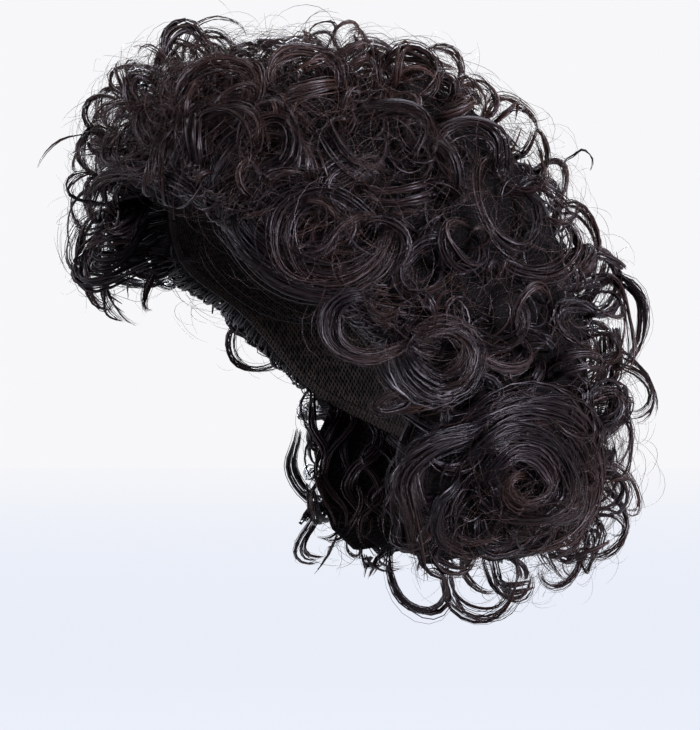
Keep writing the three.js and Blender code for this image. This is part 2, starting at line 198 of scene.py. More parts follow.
class Recipe:
    def __init__(self, tree):
        self.tree = tree

    def node(self, kind, settings, sockets, output=0):
        made = self.tree.nodes.new(kind)
        for setting, value in settings.items():
            if setting == "stops":
                for stop, (place, colour) in zip(made.color_ramp.elements, value):
                    stop.position = place
                    stop.color = colour
            else:
                setattr(made, setting, value)
        for socket, value in sockets.items():
            self.feed(made.inputs[socket], value)
        return Tint(self, made.outputs[output])

    def feed(self, target, value):
        if isinstance(value, Tint):
            self.tree.links.new(value.socket, target)
        else:
            target.default_value = value

    def attribute(self, name):
        return self.node("ShaderNodeAttribute", {"attribute_name": name}, {}, "Fac")

    def place(self):
        return self.node("ShaderNodeTexCoord", {}, {}, "Object")

    def mix(self, share, first, second):
        sockets = {MIX_SHARE: share, MIX_FIRST: first, MIX_SECOND: second}
        return self.node("ShaderNodeMix", {"data_type": "RGBA"}, sockets, MIX_COLOUR)

    def smooth(self, value, low, high):
        settings = {"interpolation_type": "SMOOTHSTEP"}
        return self.node("ShaderNodeMapRange", settings, {"Value": value, "From Min": low, "From Max": high})


print("methods of a recipe:", [name for name in vars(Recipe) if not name.startswith("_")])

# %% Finishes
class Finish(Recipe):
    def __init__(self, name, **constants):
        self.material = bpy.data.materials.new(name)
        self.material.use_nodes = True
        super().__init__(self.material.node_tree)
        self.shader = self.tree.nodes["Principled BSDF"]
        self.paint(**constants)

    def paint(self, **values):
        for socket, value in values.items():
            self.feed(self.shader.inputs[socket.replace("_", " ")], value)
        return self.material


print("methods of a finish:", [name for name in vars(Finish) if not name.startswith("_")])

# %% [markdown]
# ## Hair finish
# Dark hair is almost black in its body, browner toward the tips, and each hair differs a little
# from the next. The brown of the tips is partly the hair's own colour and partly painted
# backlight, as light shines through thin hair. Three attributes on the strands carry that: tone,
# one value for a strand, along, which runs from its root to its tip, and across, the distance from
# its middle line. A noise that is drawn out along the strand splits a broad ribbon into single
# hairs. The top of the wig is browner too, partly its own colour and partly painted backlight.

# %% Hair finish
HAIR_SHEEN = (1.0, 0.87, 0.98, 1)
BODY_COLOURS = (0.0007, 0.0005, 0.0008, 1), (0.0108, 0.0058, 0.0082, 1)
BROWN_AND_BACKLIT_COLOURS = (0.0078, 0.0035, 0.0026, 1), (0.0460, 0.0202, 0.0132, 1)
STREAKS_ACROSS = 1.9
STREAKS_ALONG = 4.0
STREAKS_APART = 40.0
TIP_FALL = 2.2
TIP_BROWN_AND_BACKLIGHT = 0.68
CROWN_BROWN_AND_BACKLIGHT = 0.32
CROWN_BACKLIGHT_HEIGHTS = -0.05, 0.06  # in metres
HAIR_ROUGHNESS = 0.46
STREAK_GLOSS = 0.20


def hair_finish():
    finish = Finish("dark_hair", Specular_IOR_Level=0.19, Specular_Tint=HAIR_SHEEN)
    tone = finish.attribute("tone")
    along = finish.attribute("along")
    across = finish.attribute("across")
    sockets = {"X": across * STREAKS_ACROSS, "Y": along * STREAKS_ALONG, "Z": tone * STREAKS_APART}
    lay = finish.node("ShaderNodeCombineXYZ", {}, sockets)
    streak = finish.node("ShaderNodeTexNoise", {}, {"Vector": lay, "Scale": 1.0, "Detail": 3.0})
    bump = finish.node("ShaderNodeBump", {}, {"Strength": 0.6, "Distance": 0.0004, "Height": streak})
    height = finish.node("ShaderNodeSeparateXYZ", {}, {0: finish.place()}, "Z")
    # painted backlight: the top of the wig is mixed toward brown, partly as its own colour
    crown = finish.smooth(height, *CROWN_BACKLIGHT_HEIGHTS)
    body = finish.mix(tone * streak, *BODY_COLOURS)
    brown_and_backlight = finish.mix(tone, *BROWN_AND_BACKLIT_COLOURS)
    # painted backlight: the tips are mixed toward brown, partly the hair's own colour, partly light through
    # it
    colour = finish.mix(along ** TIP_FALL * TIP_BROWN_AND_BACKLIGHT + crown * CROWN_BROWN_AND_BACKLIGHT, body, brown_and_backlight)
    return finish.paint(Base_Color=colour, Roughness=HAIR_ROUGHNESS - STREAK_GLOSS * streak, Normal=bump)


HAIR = hair_finish()
print("hair nodes:", len(HAIR.node_tree.nodes))

# %% [markdown]
# ## Under-hair finish
# Deep between the curls the hair lies in shade, so this layer is painted nearly black as painted
# shade, and only a few hairs catch the light, drawn lighter. They could be strands too, but so far
# down a drawing of hairs is enough. Three waves that are turned against each other and bent by
# noise draw them, and a cloud of noise hides most of them again.

# %% Under-hair finish
UNDER_SHADE_COLOURS = (0.0006, 0.0005, 0.0006, 1), (0.0130, 0.0082, 0.0092, 1)
LINE_TURNS = 0.4, 1.5, 2.6
LINE_FINENESS = 9.0
UNDER_ROUGHNESS = 0.75
CLOUD_GLOSS = 0.15


def under_finish():
    finish = Finish("under_hair", Specular_IOR_Level=0.03)
    place = finish.place()
    cloud = finish.node("ShaderNodeTexNoise", {}, {"Vector": place, "Scale": 38.0, "Detail": 5.0})
    lines = []
    for turn in LINE_TURNS:
        lay = finish.node("ShaderNodeMapping", {}, {"Vector": place, "Rotation": (turn, 2 * turn, turn)})
        sockets = {"Vector": lay, "Scale": 110.0, "Distortion": 22.0, "Detail": 1.0, "Detail Scale": 0.35}
        lines.append(finish.node("ShaderNodeTexWave", {}, sockets, "Fac") ** LINE_FINENESS)
    hairs = lines[0] + lines[1] + lines[2]
    bump = finish.node("ShaderNodeBump", {}, {"Strength": 0.9, "Distance": 0.002, "Height": hairs})
    # painted shade: the layer is nearly black, and only the drawn hairs are lighter
    colour = finish.mix(cloud * hairs, *UNDER_SHADE_COLOURS)
    return finish.paint(Base_Color=colour, Roughness=UNDER_ROUGHNESS - CLOUD_GLOSS * cloud, Normal=bump)


UNDER = under_finish()
print("under-hair nodes:", len(UNDER.node_tree.nodes))

# %% [markdown]
# ## Net finish
# The cap is a fine dark net that hair is knotted into, and its edge is folded in and sewn down. The
# threads are too fine to model, so two crossed waves make the bump and the colour: light on the
# threads and darker in the holes. Spots show the knots, and a cloud of noise paints soft patches
# of shade over the net. An attribute, the distance from the edge, tells the folded strip and its
# line of stitches from the rest.

# %% Threads and stitches
THREAD_TURNS = math.radians(50), math.radians(-50)
STITCH_LINE = 4.4
STITCH_EDGE = 0.3, 0.7
STITCH_GAP = 0.3, 0.6


def net_threads(finish, around):
    threads = []
    for turn in THREAD_TURNS:
        lay = finish.node("ShaderNodeMapping", {}, {"Vector": around, "Rotation": (0, 0, turn)})
        sockets = {"Vector": lay, "Scale": 210.0, "Distortion": 0.5}
        threads.append(finish.node("ShaderNodeTexWave", {}, sockets, "Fac"))
    return finish.node("ShaderNodeMath", {"operation": "MAXIMUM"}, {0: threads[0], 1: threads[1]})


def net_stitches(finish, around, edge):
    aside = finish.node("ShaderNodeMath", {"operation": "ABSOLUTE"}, {0: edge - STITCH_LINE})
    dash = finish.node("ShaderNodeTexWave", {}, {"Vector": around, "Scale": 90.0}, "Fac")
    return (1 - finish.smooth(aside, *STITCH_EDGE)) * finish.smooth(dash, *STITCH_GAP)


print("stitches from the edge, in mm:", STITCH_LINE)

# %% Net finish
FOLD_WIDTH = 6.0
FOLD_BLUR = 0.6
FOLD_BULGE = 2.0
STITCH_BULGE = 1.5
HOLE_DEPTH = 2.0
SHADE_CLOUD_FALL = 2.0
SHADE_CLOUD_SHARE = 1.6
KNOT_EDGE = 0.15, 0.5
NET_ROUGHNESS = 0.9
THREAD_GLOSS = 0.2
THREAD_COLOURS = (0.004, 0.0027, 0.0025, 1), (0.032, 0.0195, 0.017, 1)
SHADE_CLOUD_COLOUR = (0.005, 0.0031, 0.0028, 1)
KNOT_COLOUR = (0.0015, 0.001, 0.001, 1)
FOLD_COLOURS = (0.003, 0.002, 0.0018, 1), (0.017, 0.0105, 0.0092, 1)
STITCH_COLOUR = (0.030, 0.019, 0.017, 1)


def net_finish():
    finish = Finish("cap_net", Specular_IOR_Level=0.12)
    around = finish.node("ShaderNodeUVMap", {"uv_map": "net"}, {})
    edge = finish.attribute("edge")
    thread = net_threads(finish, around)
    stitch = net_stitches(finish, around, edge)
    single = finish.smooth(edge, FOLD_WIDTH, FOLD_WIDTH + FOLD_BLUR)
    cloud = finish.node("ShaderNodeTexNoise", {}, {"Vector": finish.place(), "Scale": 60.0, "Detail": 4.0})
    sockets = {"Vector": around, "Scale": 300.0, "Randomness": 0.7}
    spot = finish.node("ShaderNodeTexVoronoi", {"voronoi_dimensions": "2D"}, sockets, "Distance")
    height = thread + FOLD_BULGE * (1 - single) + STITCH_BULGE * stitch
    bump = finish.node("ShaderNodeBump", {}, {"Strength": 0.8, "Distance": 0.0008, "Height": height})
    base = finish.mix(thread ** HOLE_DEPTH, *THREAD_COLOURS)
    # painted shade: a cloud of noise darkens the net in soft patches
    cloud_shaded = finish.mix(cloud ** SHADE_CLOUD_FALL * SHADE_CLOUD_SHARE, base, SHADE_CLOUD_COLOUR)
    knotted = finish.mix(finish.smooth(spot, *KNOT_EDGE), KNOT_COLOUR, cloud_shaded)
    doubled = finish.mix(thread ** HOLE_DEPTH, *FOLD_COLOURS)
    folded = finish.mix(single, doubled, knotted)
    colour = finish.mix(stitch, folded, STITCH_COLOUR)
    return finish.paint(Base_Color=colour, Roughness=NET_ROUGHNESS - THREAD_GLOSS * thread, Normal=bump)


NET = net_finish()
print("net nodes:", len(NET.node_tree.nodes))

# %% [markdown]
# ## Net cap
# The real cap is one soft dome of net with a turned edge. A UV sphere gives the dome's rows and
# columns: the vertices of its lower half are selected by their place and deleted, every other one
# moves to the cap's form, and Solidify gives the wall. The rows are spread between the hairline and
# the crown, so the rim follows the hairline, and a mean over some degrees rounds its corners. A UV
# map of its own lays the threads round the dome.

# %% What every piece gets
def keep(piece, name, node, finish):
    piece.name = name
    piece.data.name = name
    piece.data.materials.clear()
    piece.data.materials.append(finish)
    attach(piece, "root")
    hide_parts(node)
    return piece


def triangles(piece):
    return sum(len(face.vertices) - 2 for face in piece.data.polygons)


print("finishes for the pieces:", [finish.name for finish in (HAIR, UNDER, NET)])

# %% Map of the net
NET_REACH = CAP_HALF_LENGTH * MM
NET_GATHER = 0.8


def net_layer(cap, turn, lat):
    corner = np.empty(len(cap.data.loops), int)
    cap.data.loops.foreach_get("vertex_index", corner)
    first = np.empty(len(cap.data.polygons), int)
    cap.data.polygons.foreach_get("loop_start", first)
    size = np.diff(np.append(first, len(corner)))
    around = turn[corner]
    span = np.maximum.reduceat(around, first) - np.minimum.reduceat(around, first)
    seam = np.repeat(span > HALF_TURN, size)  # corners of the faces that cross the back
    around = np.where(seam & (around < 0), around + FULL_TURN, around)
    across = np.radians(around) * NET_REACH * np.cos(lat[corner] * NET_GATHER)
    layer = cap.data.uv_layers.new(name="net")
    layer.data.foreach_set("uv", np.stack([across, lat[corner] * NET_REACH], -1).ravel())


print("metres of net round the widest row:", round(math.radians(FULL_TURN) * NET_REACH, 3))

# %% Dome of net
CAP_COLUMNS = 80
CAP_ROWS = 30
CUT_LEVEL = -0.01
RIM_SOFTNESS = 9.0
RIM_SAMPLES = 9


def half_ball():
    bpy.ops.object.select_all(action="DESELECT")
    bpy.ops.mesh.primitive_uv_sphere_add(segments=CAP_COLUMNS, ring_count=2 * CAP_ROWS, radius=1.0)
    ball = bpy.context.object
    bpy.ops.object.mode_set(mode="EDIT")
    bpy.ops.mesh.select_mode(type="VERT")
    bpy.ops.mesh.select_all(action="DESELECT")
    bpy.ops.object.mode_set(mode="OBJECT")
    for vertex in ball.data.vertices:
        vertex.select = vertex.co.z < CUT_LEVEL
    bpy.ops.object.mode_set(mode="EDIT")
    bpy.ops.mesh.delete(type="VERT")
    bpy.ops.object.mode_set(mode="OBJECT")
    return ball


def net_cap():
    cap = half_ball()
    ball = np.empty(len(cap.data.vertices) * 3)
    cap.data.vertices.foreach_get("co", ball)
    ball = ball.reshape(-1, 3)
    turn = np.degrees(np.arctan2(ball[:, 0], -ball[:, 1]))
    share = np.clip(np.arcsin(np.clip(ball[:, 2], -1, 1)) / (math.pi / 2), 0, 1)
    nearby = turn[:, None] + np.linspace(-RIM_SOFTNESS, RIM_SOFTNESS, RIM_SAMPLES)
    rim = cap_lat(rim_level(nearby).mean(axis=1))
    lat = rim + (math.pi / 2 - rim) * share
    points = cap_point(turn, lat, CAP_WALL)
    cap.data.vertices.foreach_set("co", (points * MM).ravel())
    net_layer(cap, turn, lat)
    edge = cap.data.attributes.new("edge", "FLOAT", "POINT")
    edge.data.foreach_set("value", np.linalg.norm(points - cap_point(turn, rim, CAP_WALL), axis=-1))
    wall = cap.modifiers.new("wall", "SOLIDIFY")
    wall.thickness = CAP_WALL * MM
    wall.offset = -1
    bpy.ops.object.modifier_apply(modifier="wall")
    bpy.ops.object.shade_smooth()
    return keep(cap, "net_cap_dome", "net_cap", NET)


CAP = net_cap()
print("net cap triangles:", triangles(CAP))

# %% [markdown]
# ## Beds of hair
# The hair of the wig is parted into beds, as the solids are. A bed lies between two turns, a parting
# and a hem. It could be read from the solids' meshes, but a formula with two shares, s round the wig
# and t down the bed, finds every place in it. Where a bed ends freely, its edge is rounded.

# %% Beds of hair
Bed = namedtuple("Bed", "start stop top hem free")
BEDS = {  # turns from and to, top parting, hem, free edges
    "front_curls": Bed(-40, 32, "crown", "hairline", ("hem",)),
    "left_side_curls": Bed(32, 105, "crown", "hairline", ("hem",)),
    "right_side_curls": Bed(-105, -40, "crown", "hairline", ("hem",)),
    "back_curls": Bed(105, 255, "crown", "nape", ()),
    "left_nape_roll": Bed(105, 150, "nape", "nape_hem", ("hem", "from")),
    "nape_curls": Bed(150, 210, "nape", "nape_hem", ("hem",)),
    "right_nape_roll": Bed(210, 255, "nape", "nape_hem", ("hem", "to")),
    "forelock": Bed(-50, -6, "hairline", "forelock_hem", ("hem", "from", "to")),
    "crown_curls": Bed(0, 360, "crown", "apex", ()),
}
PARTINGS = {  # levels at the cap and at the outer form
    "nape": (-142.0, -150.0),
    "nape_hem": (-228.0, -246.0),
    "forelock_hem": (-66.0, -80.0),
}
print("bed spans in degrees:", {name: bed.stop - bed.start for name, bed in BEDS.items()})

# %% Layers of a bed
PARTING_RISE = math.radians(1)
CROWN_LAT = math.radians(57)
CROWN_LEVEL = 28.0
SEAT = CAP_WALL + 1.6
FORELOCK_CLEAR = 9.0
EDGE_SPAN = 0.4
EDGE_DEPTH = 0.3


def parting(name, turn):
    if name == "crown":
        return CROWN_LAT + 0 * turn, CROWN_LEVEL + 0 * turn
    if name == "apex":
        return math.pi / 2 + 0 * turn, HAIR_FORM[-1, 0] + 0 * turn
    if name == "hairline":
        return cap_lat(rim_level(turn)) + PARTING_RISE, hem_level(turn)
    inner, outer = PARTINGS[name]
    return cap_lat(inner) + PARTING_RISE + 0 * turn, outer + 0 * turn


def edge_share(span):
    away = 1 - np.minimum(1, span / EDGE_SPAN)
    return EDGE_DEPTH + (1 - EDGE_DEPTH) * np.sqrt(1 - away**2)


def bed_layers(name, s, t, sink):
    bed = BEDS[name]
    turn = bed.start + (bed.stop - bed.start) * s
    top_lat, top_z = parting(bed.top, turn)
    hem_lat, hem_z = parting(bed.hem, turn)
    seat = SEAT + (FORELOCK_CLEAR * t if name == "forelock" else 0 * t)
    inner = cap_point(turn, top_lat + (hem_lat - top_lat) * t, seat)
    if bed.hem == "apex":
        outer = form_point(turn, top_z + (hem_z - top_z) * np.sin(t * math.pi / 2)) - [0, 0, sink]
    else:
        outer = form_point(turn, top_z + (hem_z - top_z) * t, -sink)
    share = np.ones_like(s)
    for edge in bed.free:
        share = share * edge_share({"hem": 1 - t, "from": s, "to": 1 - s}[edge])
    return inner, inner + (outer - inner) * share[..., None]


cap_side, outer_side = bed_layers("back_curls", np.array(0.5), np.array(0.5), 0)
print("hair over the back of the cap, in mm:", round(float(np.linalg.norm(outer_side - cap_side)), 1))

# %% [markdown]
# ## Meshes from arrays
# Blender takes whole arrays of points, corners and faces at once, which is the only quick way to
# make thousands of hairs. One helper makes any mesh that way, and it also stores the attributes.

# %% Mesh from arrays
def mesh_piece(name, points, faces, attributes):
    mesh = bpy.data.meshes.new(name)
    corners = np.concatenate([block.ravel() for block in faces])
    sizes = np.concatenate([np.full(len(block), block.shape[1]) for block in faces])
    mesh.vertices.add(len(points))
    mesh.vertices.foreach_set("co", (points * MM).astype(np.float32).ravel())
    mesh.loops.add(len(corners))
    mesh.loops.foreach_set("vertex_index", corners.astype(np.int32))
    mesh.polygons.add(len(sizes))
    mesh.polygons.foreach_set("loop_start", (np.cumsum(sizes) - sizes).astype(np.int32))
    mesh.polygons.foreach_set("use_smooth", np.ones(len(sizes), bool))
    for label, values in attributes.items():
        layer = mesh.attributes.new(label, "FLOAT", "POINT")
        layer.data.foreach_set("value", values.astype(np.float32))
    mesh.update(calc_edges=True)
    piece = bpy.data.objects.new(name, mesh)
    bpy.context.collection.objects.link(piece)
    return piece


print("meshes before the hair:", len(bpy.data.meshes))

# %% [markdown]
# ## Under-hair
# Between the curls the eye falls into a dark mass of hair in shade. Each bed gets a closed layer a
# little inside the form, painted dark as painted shade, with the same partings as the solids and the
# same rounded free edges, but with a ragged hem and a dimpled surface. It could be a shell made by
# modifiers, but as a thick sheet between two grids it keeps exactly to its bed.

# %% Faces of a thick sheet
def quads(a, b, c, d):
    return np.stack([a, b, c, d], -1).reshape(-1, 4)


def sheet_faces(rows, cols, ring):
    index = np.arange(rows * cols).reshape(rows, cols)
    if ring:
        index[:, -1] = index[:, 0]
        index[-1, :] = index[-1, 0]
    lift = rows * cols
    a, b, c, d = index[:-1, :-1], index[:-1, 1:], index[1:, 1:], index[1:, :-1]
    faces = [quads(a, d, c, b), quads(a + lift, b + lift, c + lift, d + lift)]
    top, low, first, last = index[0], index[-1], index[:, 0], index[:, -1]
    faces.append(quads(top[:-1], top[1:], top[1:] + lift, top[:-1] + lift))
    if not ring:
        faces.append(quads(low[:-1] + lift, low[1:] + lift, low[1:], low[:-1]))
        faces.append(quads(first[:-1] + lift, first[1:] + lift, first[1:], first[:-1]))
        faces.append(quads(last[:-1], last[1:], last[1:] + lift, last[:-1] + lift))
    return faces


print("faces of a sheet with one square:", sum(len(block) for block in sheet_faces(2, 2, False)))

# %% Grid of the under-hair
UNDER_COLUMNS = 26
UNDER_ROWS = 20
CROWN_COLUMNS = 72
UNDER_GAP = 0.004
HEM_SHARE = 0.86
HEM_RAGGED = 0.07
HEM_TEETH = 17, 7
SIDE_INSET = 0.10
SIDE_RAGGED = 0.05
SIDE_TEETH = 14, 5


def ragged(share, fast, slow):
    return np.sin(share * fast) * np.sin(share * slow + 1)


def under_grid(bed):
    ring = bed.hem == "apex"
    columns = CROWN_COLUMNS if ring else UNDER_COLUMNS
    margin = 0 if ring else UNDER_GAP
    around = np.linspace(margin, 1 - margin, columns + 1)
    s, t = np.meshgrid(around, np.linspace(UNDER_GAP, 1, UNDER_ROWS + 1))
    if bed.hem == "nape_hem":
        t = t * (HEM_SHARE + HEM_RAGGED * ragged(s, *HEM_TEETH))
    inset = SIDE_INSET + SIDE_RAGGED * ragged(t, *SIDE_TEETH)
    if "from" in bed.free:
        s = 1 - (1 - s) * (1 - inset)
    if "to" in bed.free:
        s = s * (1 - inset)
    return s, t, ring


print("rows and columns of the nape:", under_grid(BEDS["nape_curls"])[0].shape)

# %% Under-hair pieces
UNDER_SINK = 15.0
DIMPLE_LENGTHS = np.array([7.0, 8.0, 7.5])
DIMPLE_PHASES = np.array([0, 1, 0])
DIMPLE_HEIGHT = 2.5
MERGE_DISTANCE = 1e-6


def under_hair(name):
    s, t, ring = under_grid(BEDS[name])
    inner, outer = bed_layers(name, s, t, UNDER_SINK)
    dimple = np.prod(np.sin(outer / DIMPLE_LENGTHS + DIMPLE_PHASES), axis=-1)
    outer = outer + unit(outer - HEART) * (DIMPLE_HEIGHT * dimple)[..., None]
    points = np.concatenate([inner.reshape(-1, 3), outer.reshape(-1, 3)])
    piece = mesh_piece(name + "_under", points, sheet_faces(*s.shape, ring), {})
    bpy.ops.object.select_all(action="DESELECT")
    piece.select_set(True)
    bpy.context.view_layer.objects.active = piece
    bpy.ops.object.mode_set(mode="EDIT")
    bpy.ops.mesh.select_all(action="SELECT")
    bpy.ops.mesh.remove_doubles(threshold=MERGE_DISTANCE)
    bpy.ops.mesh.delete_loose()
    bpy.ops.mesh.select_all(action="SELECT")
    bpy.ops.mesh.normals_make_consistent(inside=False)
    bpy.ops.object.mode_set(mode="OBJECT")
    return keep(piece, name + "_under", name, UNDER)


UNDERS = [under_hair(name) for name in BEDS]
print("under-hair triangles:", sum(triangles(piece) for piece in UNDERS))

# %% [markdown]
# ## Strands
# A lock is a bundle: flat ribbons make its body, wisps a millimetre wide run over them, and single
# hairs stray beside them. All are closed three-sided tubes that taper to the tip. Curves with a bevel
# would do for a few, but a block of strands holds all the paths of a bed as arrays, so a whole bed
# becomes one mesh.

# %% Strand blocks
TUBE_SIDES = 3
RIDGE = 90


class Strands:
    def __init__(self):
        self.points = []
        self.faces = []
        self.tone = []
        self.along = []
        self.across = []
        self.count = 0

    def add(self, paths, side, half_width, half_thick, tone, along, twist=0.0):
        strands, steps = paths.shape[:2]
        tangent = unit(np.gradient(paths, axis=1))
        level = unit(side - tangent * np.sum(side * tangent, -1, keepdims=True))
        twist = np.broadcast_to(twist, (strands,))[:, None, None]
        side = level * np.cos(twist) + np.cross(tangent, level) * np.sin(twist)
        normal = np.cross(tangent, side)
        turns = np.radians(RIDGE + FULL_TURN / TUBE_SIDES * np.arange(TUBE_SIDES))
        across = half_width[:, :, None] * np.cos(turns)
        above = half_thick[:, :, None] * np.sin(turns)
        ring = paths[:, :, None] + side[:, :, None] * across[..., None]
        ring = ring + normal[:, :, None] * above[..., None]
        index = self.count + np.arange(strands * steps * TUBE_SIDES).reshape(strands, steps, TUBE_SIDES)
        near, far = index[:, :-1], index[:, 1:]
        self.faces.append(quads(near, np.roll(near, -1, 2), np.roll(far, -1, 2), far))
        self.faces.append(np.concatenate([index[:, 0, ::-1], index[:, -1]]))
        self.points.append(ring.reshape(-1, 3))
        self.tone.append(np.repeat(np.broadcast_to(tone, (strands,)), steps * TUBE_SIDES))
        self.along.append(np.repeat(np.broadcast_to(along, (strands, steps)).ravel(), TUBE_SIDES))
        self.across.append(across.ravel())
        self.count += strands * steps * TUBE_SIDES

    def piece(self, name, node):
        layers = {"tone": self.tone, "along": self.along, "across": self.across}
        attributes = {label: np.concatenate(values) for label, values in layers.items()}
        made = mesh_piece(name, np.concatenate(self.points), self.faces, attributes)
        return keep(made, name, node, HAIR)


print("sides of a strand:", TUBE_SIDES)

# %% [markdown]
# ## Curls
# A curl is a loop that winds round its own axis. The first table holds the curls that the solids
# have, as they lie in the left three-quarter view. The second holds rows of curls round the sides
# that this view hides. Tables are quicker to correct than curves drawn by hand in the viewport.

# %% The left three-quarter view
VIEW_TURN = 70.0
UP = np.array([0.0, 0.0, 1.0])


def facing(turn):
    sine, cosine = math.sin(math.radians(turn)), math.cos(math.radians(turn))
    return np.array([sine, -cosine, 0]), np.array([cosine, sine, 0])


VIEW, ALONG = facing(VIEW_TURN)  # toward the camera, and from the front to the back across the view
print("view and across:", VIEW.round(2), ALONG.round(2))

# %% Tables of curls
CURLS = [  # bed, along, z, depth, radius, tall, start, sweep, end, face, width
    ("crown_curls", -53, 45, 0, 15, 1.1, -30, 240, 0.9, 0, 8),
    ("crown_curls", -53, 38, 16, 14, 1.0, -20, 220, 0.9, 15, 10),
    ("crown_curls", 8, 46, -10, 11, 1.2, 200, -220, 0.9, 0, 8),
    ("crown_curls", -18, 38, 12, 18, 0.8, 0, 180, 1.0, -10, 10),
    ("crown_curls", 36, 34, 0, 19, 0.9, 15, 160, 1.0, 10, 10),
    ("crown_curls", 73, 36, -5, 12, 1.1, -100, 280, 0.8, 0, 8),
    ("crown_curls", -5, 24, None, 20, 0.8, -20, 250, 0.8, 0, 15),
    ("crown_curls", 50, 25, None, 18, 0.8, 160, -250, 0.8, 0, 15),
    ("crown_curls", 0, 40, -42, 18, 0.8, 20, 200, 0.9, 180, 10),
    ("crown_curls", -40, 36, -46, 16, 0.9, 160, -220, 0.9, 170, 10),
    ("front_curls", -107, 17, 4, 10, 1.0, -40, 300, 0.9, 0, 7),
    ("front_curls", -82, 18, None, 14, 0.9, 100, 280, 0.8, 10, 14),
    ("front_curls", -49, 14, None, 19, 0.9, 200, -260, 0.8, 0, 15),
    ("front_curls", -112, -8, 24, 14, 1.1, 60, 260, 0.8, 20, 9),
    ("front_curls", -100, 6, -30, 15, 0.9, 20, 260, 0.8, -30, 9),
    ("left_side_curls", -38, -12, None, 21, 0.9, 230, -250, 0.8, 0, 16),
    ("left_side_curls", 47, -8, None, 22, 0.9, 210, -260, 0.8, 0, 16),
    ("left_side_curls", 23, -36, None, 17, 0.9, 30, 280, 0.8, 0, 15),
    ("left_side_curls", 8, -60, None, 29, 0.8, 20, 310, 0.8, 0, 19),
    ("left_side_curls", 30, -104, None, 15, 1.1, 60, 300, 0.9, 0, 13),
    ("left_side_curls", 67, -118, None, 20, 0.9, 90, 320, 0.7, 0, 16),
    ("left_side_curls", 55, -142, None, 17, 0.45, 60, 250, 0.8, 0, 13),
    ("left_side_curls", 62, -74, None, 20, 0.9, 40, 300, 0.8, 0, 16),
    ("back_curls", 89, -18, None, 19, 0.9, 0, 300, 0.8, 0, 15),
    ("back_curls", 91, 20, -10, 12, 1.0, -120, 290, 0.8, 0, 8),
    ("back_curls", 110, 6, -12, 16, 1.0, 200, -230, 0.9, 0, 9),
    ("back_curls", 116, -22, None, 17, 1.0, 90, 320, 0.7, 0, 15),
    ("back_curls", 137, -22, -16, 10, 1.1, 170, -290, 0.9, 0, 8),
    ("back_curls", 148, -54, -18, 11, 1.6, 120, -260, 0.9, 0, 8),
    ("back_curls", 124, -62, None, 21, 0.9, 130, 320, 0.8, 0, 16),
    ("back_curls", 164, -106, -20, 15, 1.8, 140, -260, 0.9, 0, 9),
    ("back_curls", 146, -104, None, 16, 0.8, 0, 320, 0.8, 0, 15),
    ("back_curls", 174, -142, -20, 14, 1.1, 100, -210, 0.8, 0, 8),
    ("back_curls", 98, -96, None, 20, 0.9, 120, 320, 0.8, 0, 16),
    ("back_curls", 116, -128, None, 18, 0.9, 20, 300, 0.8, 0, 16),
    ("left_nape_roll", 118, -186, None, 36, 0.85, 60, 320, 0.7, 0, 21),
    ("left_nape_roll", 82, -190, None, 30, 1.2, 65, 165, 0.9, 0, 14),
    ("left_nape_roll", 92, -208, None, 21, 1.1, 90, 220, 0.8, 0, 15),
    ("left_nape_roll", 97, -240, None, 19, 1.1, 150, 250, 0.9, 0, 14),
    ("nape_curls", 168, -172, -20, 13, 1.3, 110, -240, 0.9, 0, 8),
    ("nape_curls", 160, -214, -20, 13, 1.4, 100, -250, 0.9, 0, 8),
    ("nape_curls", 138, -236, -20, 14, 1.0, 40, -240, 0.9, 0, 8),
    ("nape_curls", 112, -242, -10, 13, 1.0, 170, 230, 0.9, 0, 8),
    ("forelock", -113, -38, 8, 12, 1.3, 75, 290, 0.8, 0, 8),
    ("forelock", -111, -76, 0, 9, 2.1, 80, 270, 0.9, 0, 7),
    ("forelock", -98, -84, -12, 14, 1.4, 110, 170, 0.9, 0, 8),
    ("forelock", -98, -56, -20, 17, 1.0, 60, 290, 0.8, -30, 9),
    ("forelock", -84, -84, -42, 14, 1.2, 60, 220, 0.8, -40, 8),
]
CURL_ROWS = [  # bed, z, from turn, to turn, count, radius, start of the first
    ("right_side_curls", 6, -92, -54, 3, 19, 46),
    ("right_side_curls", -34, -94, -58, 3, 20, 6),
    ("right_side_curls", -72, -94, -68, 2, 22, -32),
    ("right_side_curls", -112, -98, -90, 1, 18, 100),
    ("crown_curls", 36, -100, 10, 4, 17, 76),
    ("crown_curls", 36, 190, 240, 3, 17, 76),
    ("crown_curls", 41, 30, 330, 5, 15, 81),
    ("back_curls", 6, 178, 244, 4, 18, 46),
    ("back_curls", -32, 174, 246, 4, 20, 8),
    ("back_curls", -74, 176, 246, 4, 20, -34),
    ("back_curls", -118, 174, 244, 4, 20, -78),
    ("nape_curls", -182, 176, 196, 2, 19, -142),
    ("nape_curls", -226, 182, 200, 1, 18, -186),
    ("right_nape_roll", -184, 224, 240, 1, 30, -144),
    ("right_nape_roll", -226, 222, 240, 2, 18, -186),
]
print("curls in the table:", len(CURLS), "rows of curls:", len(CURL_ROWS))

# %% Places in the view
NEAR_TURNS = np.arange(-20.0, 166.0)  # the side of the form that the view sees


def near_depth(along, z):
    points = form_point(NEAR_TURNS, z)
    nearest = np.argmin(np.abs(points @ ALONG - along))
    return points[nearest] @ VIEW


def in_view(along, z, depth):
    return ALONG * along + VIEW * depth + UP * z


print("depth of the form in the middle of the view:", round(near_depth(0, -60)))

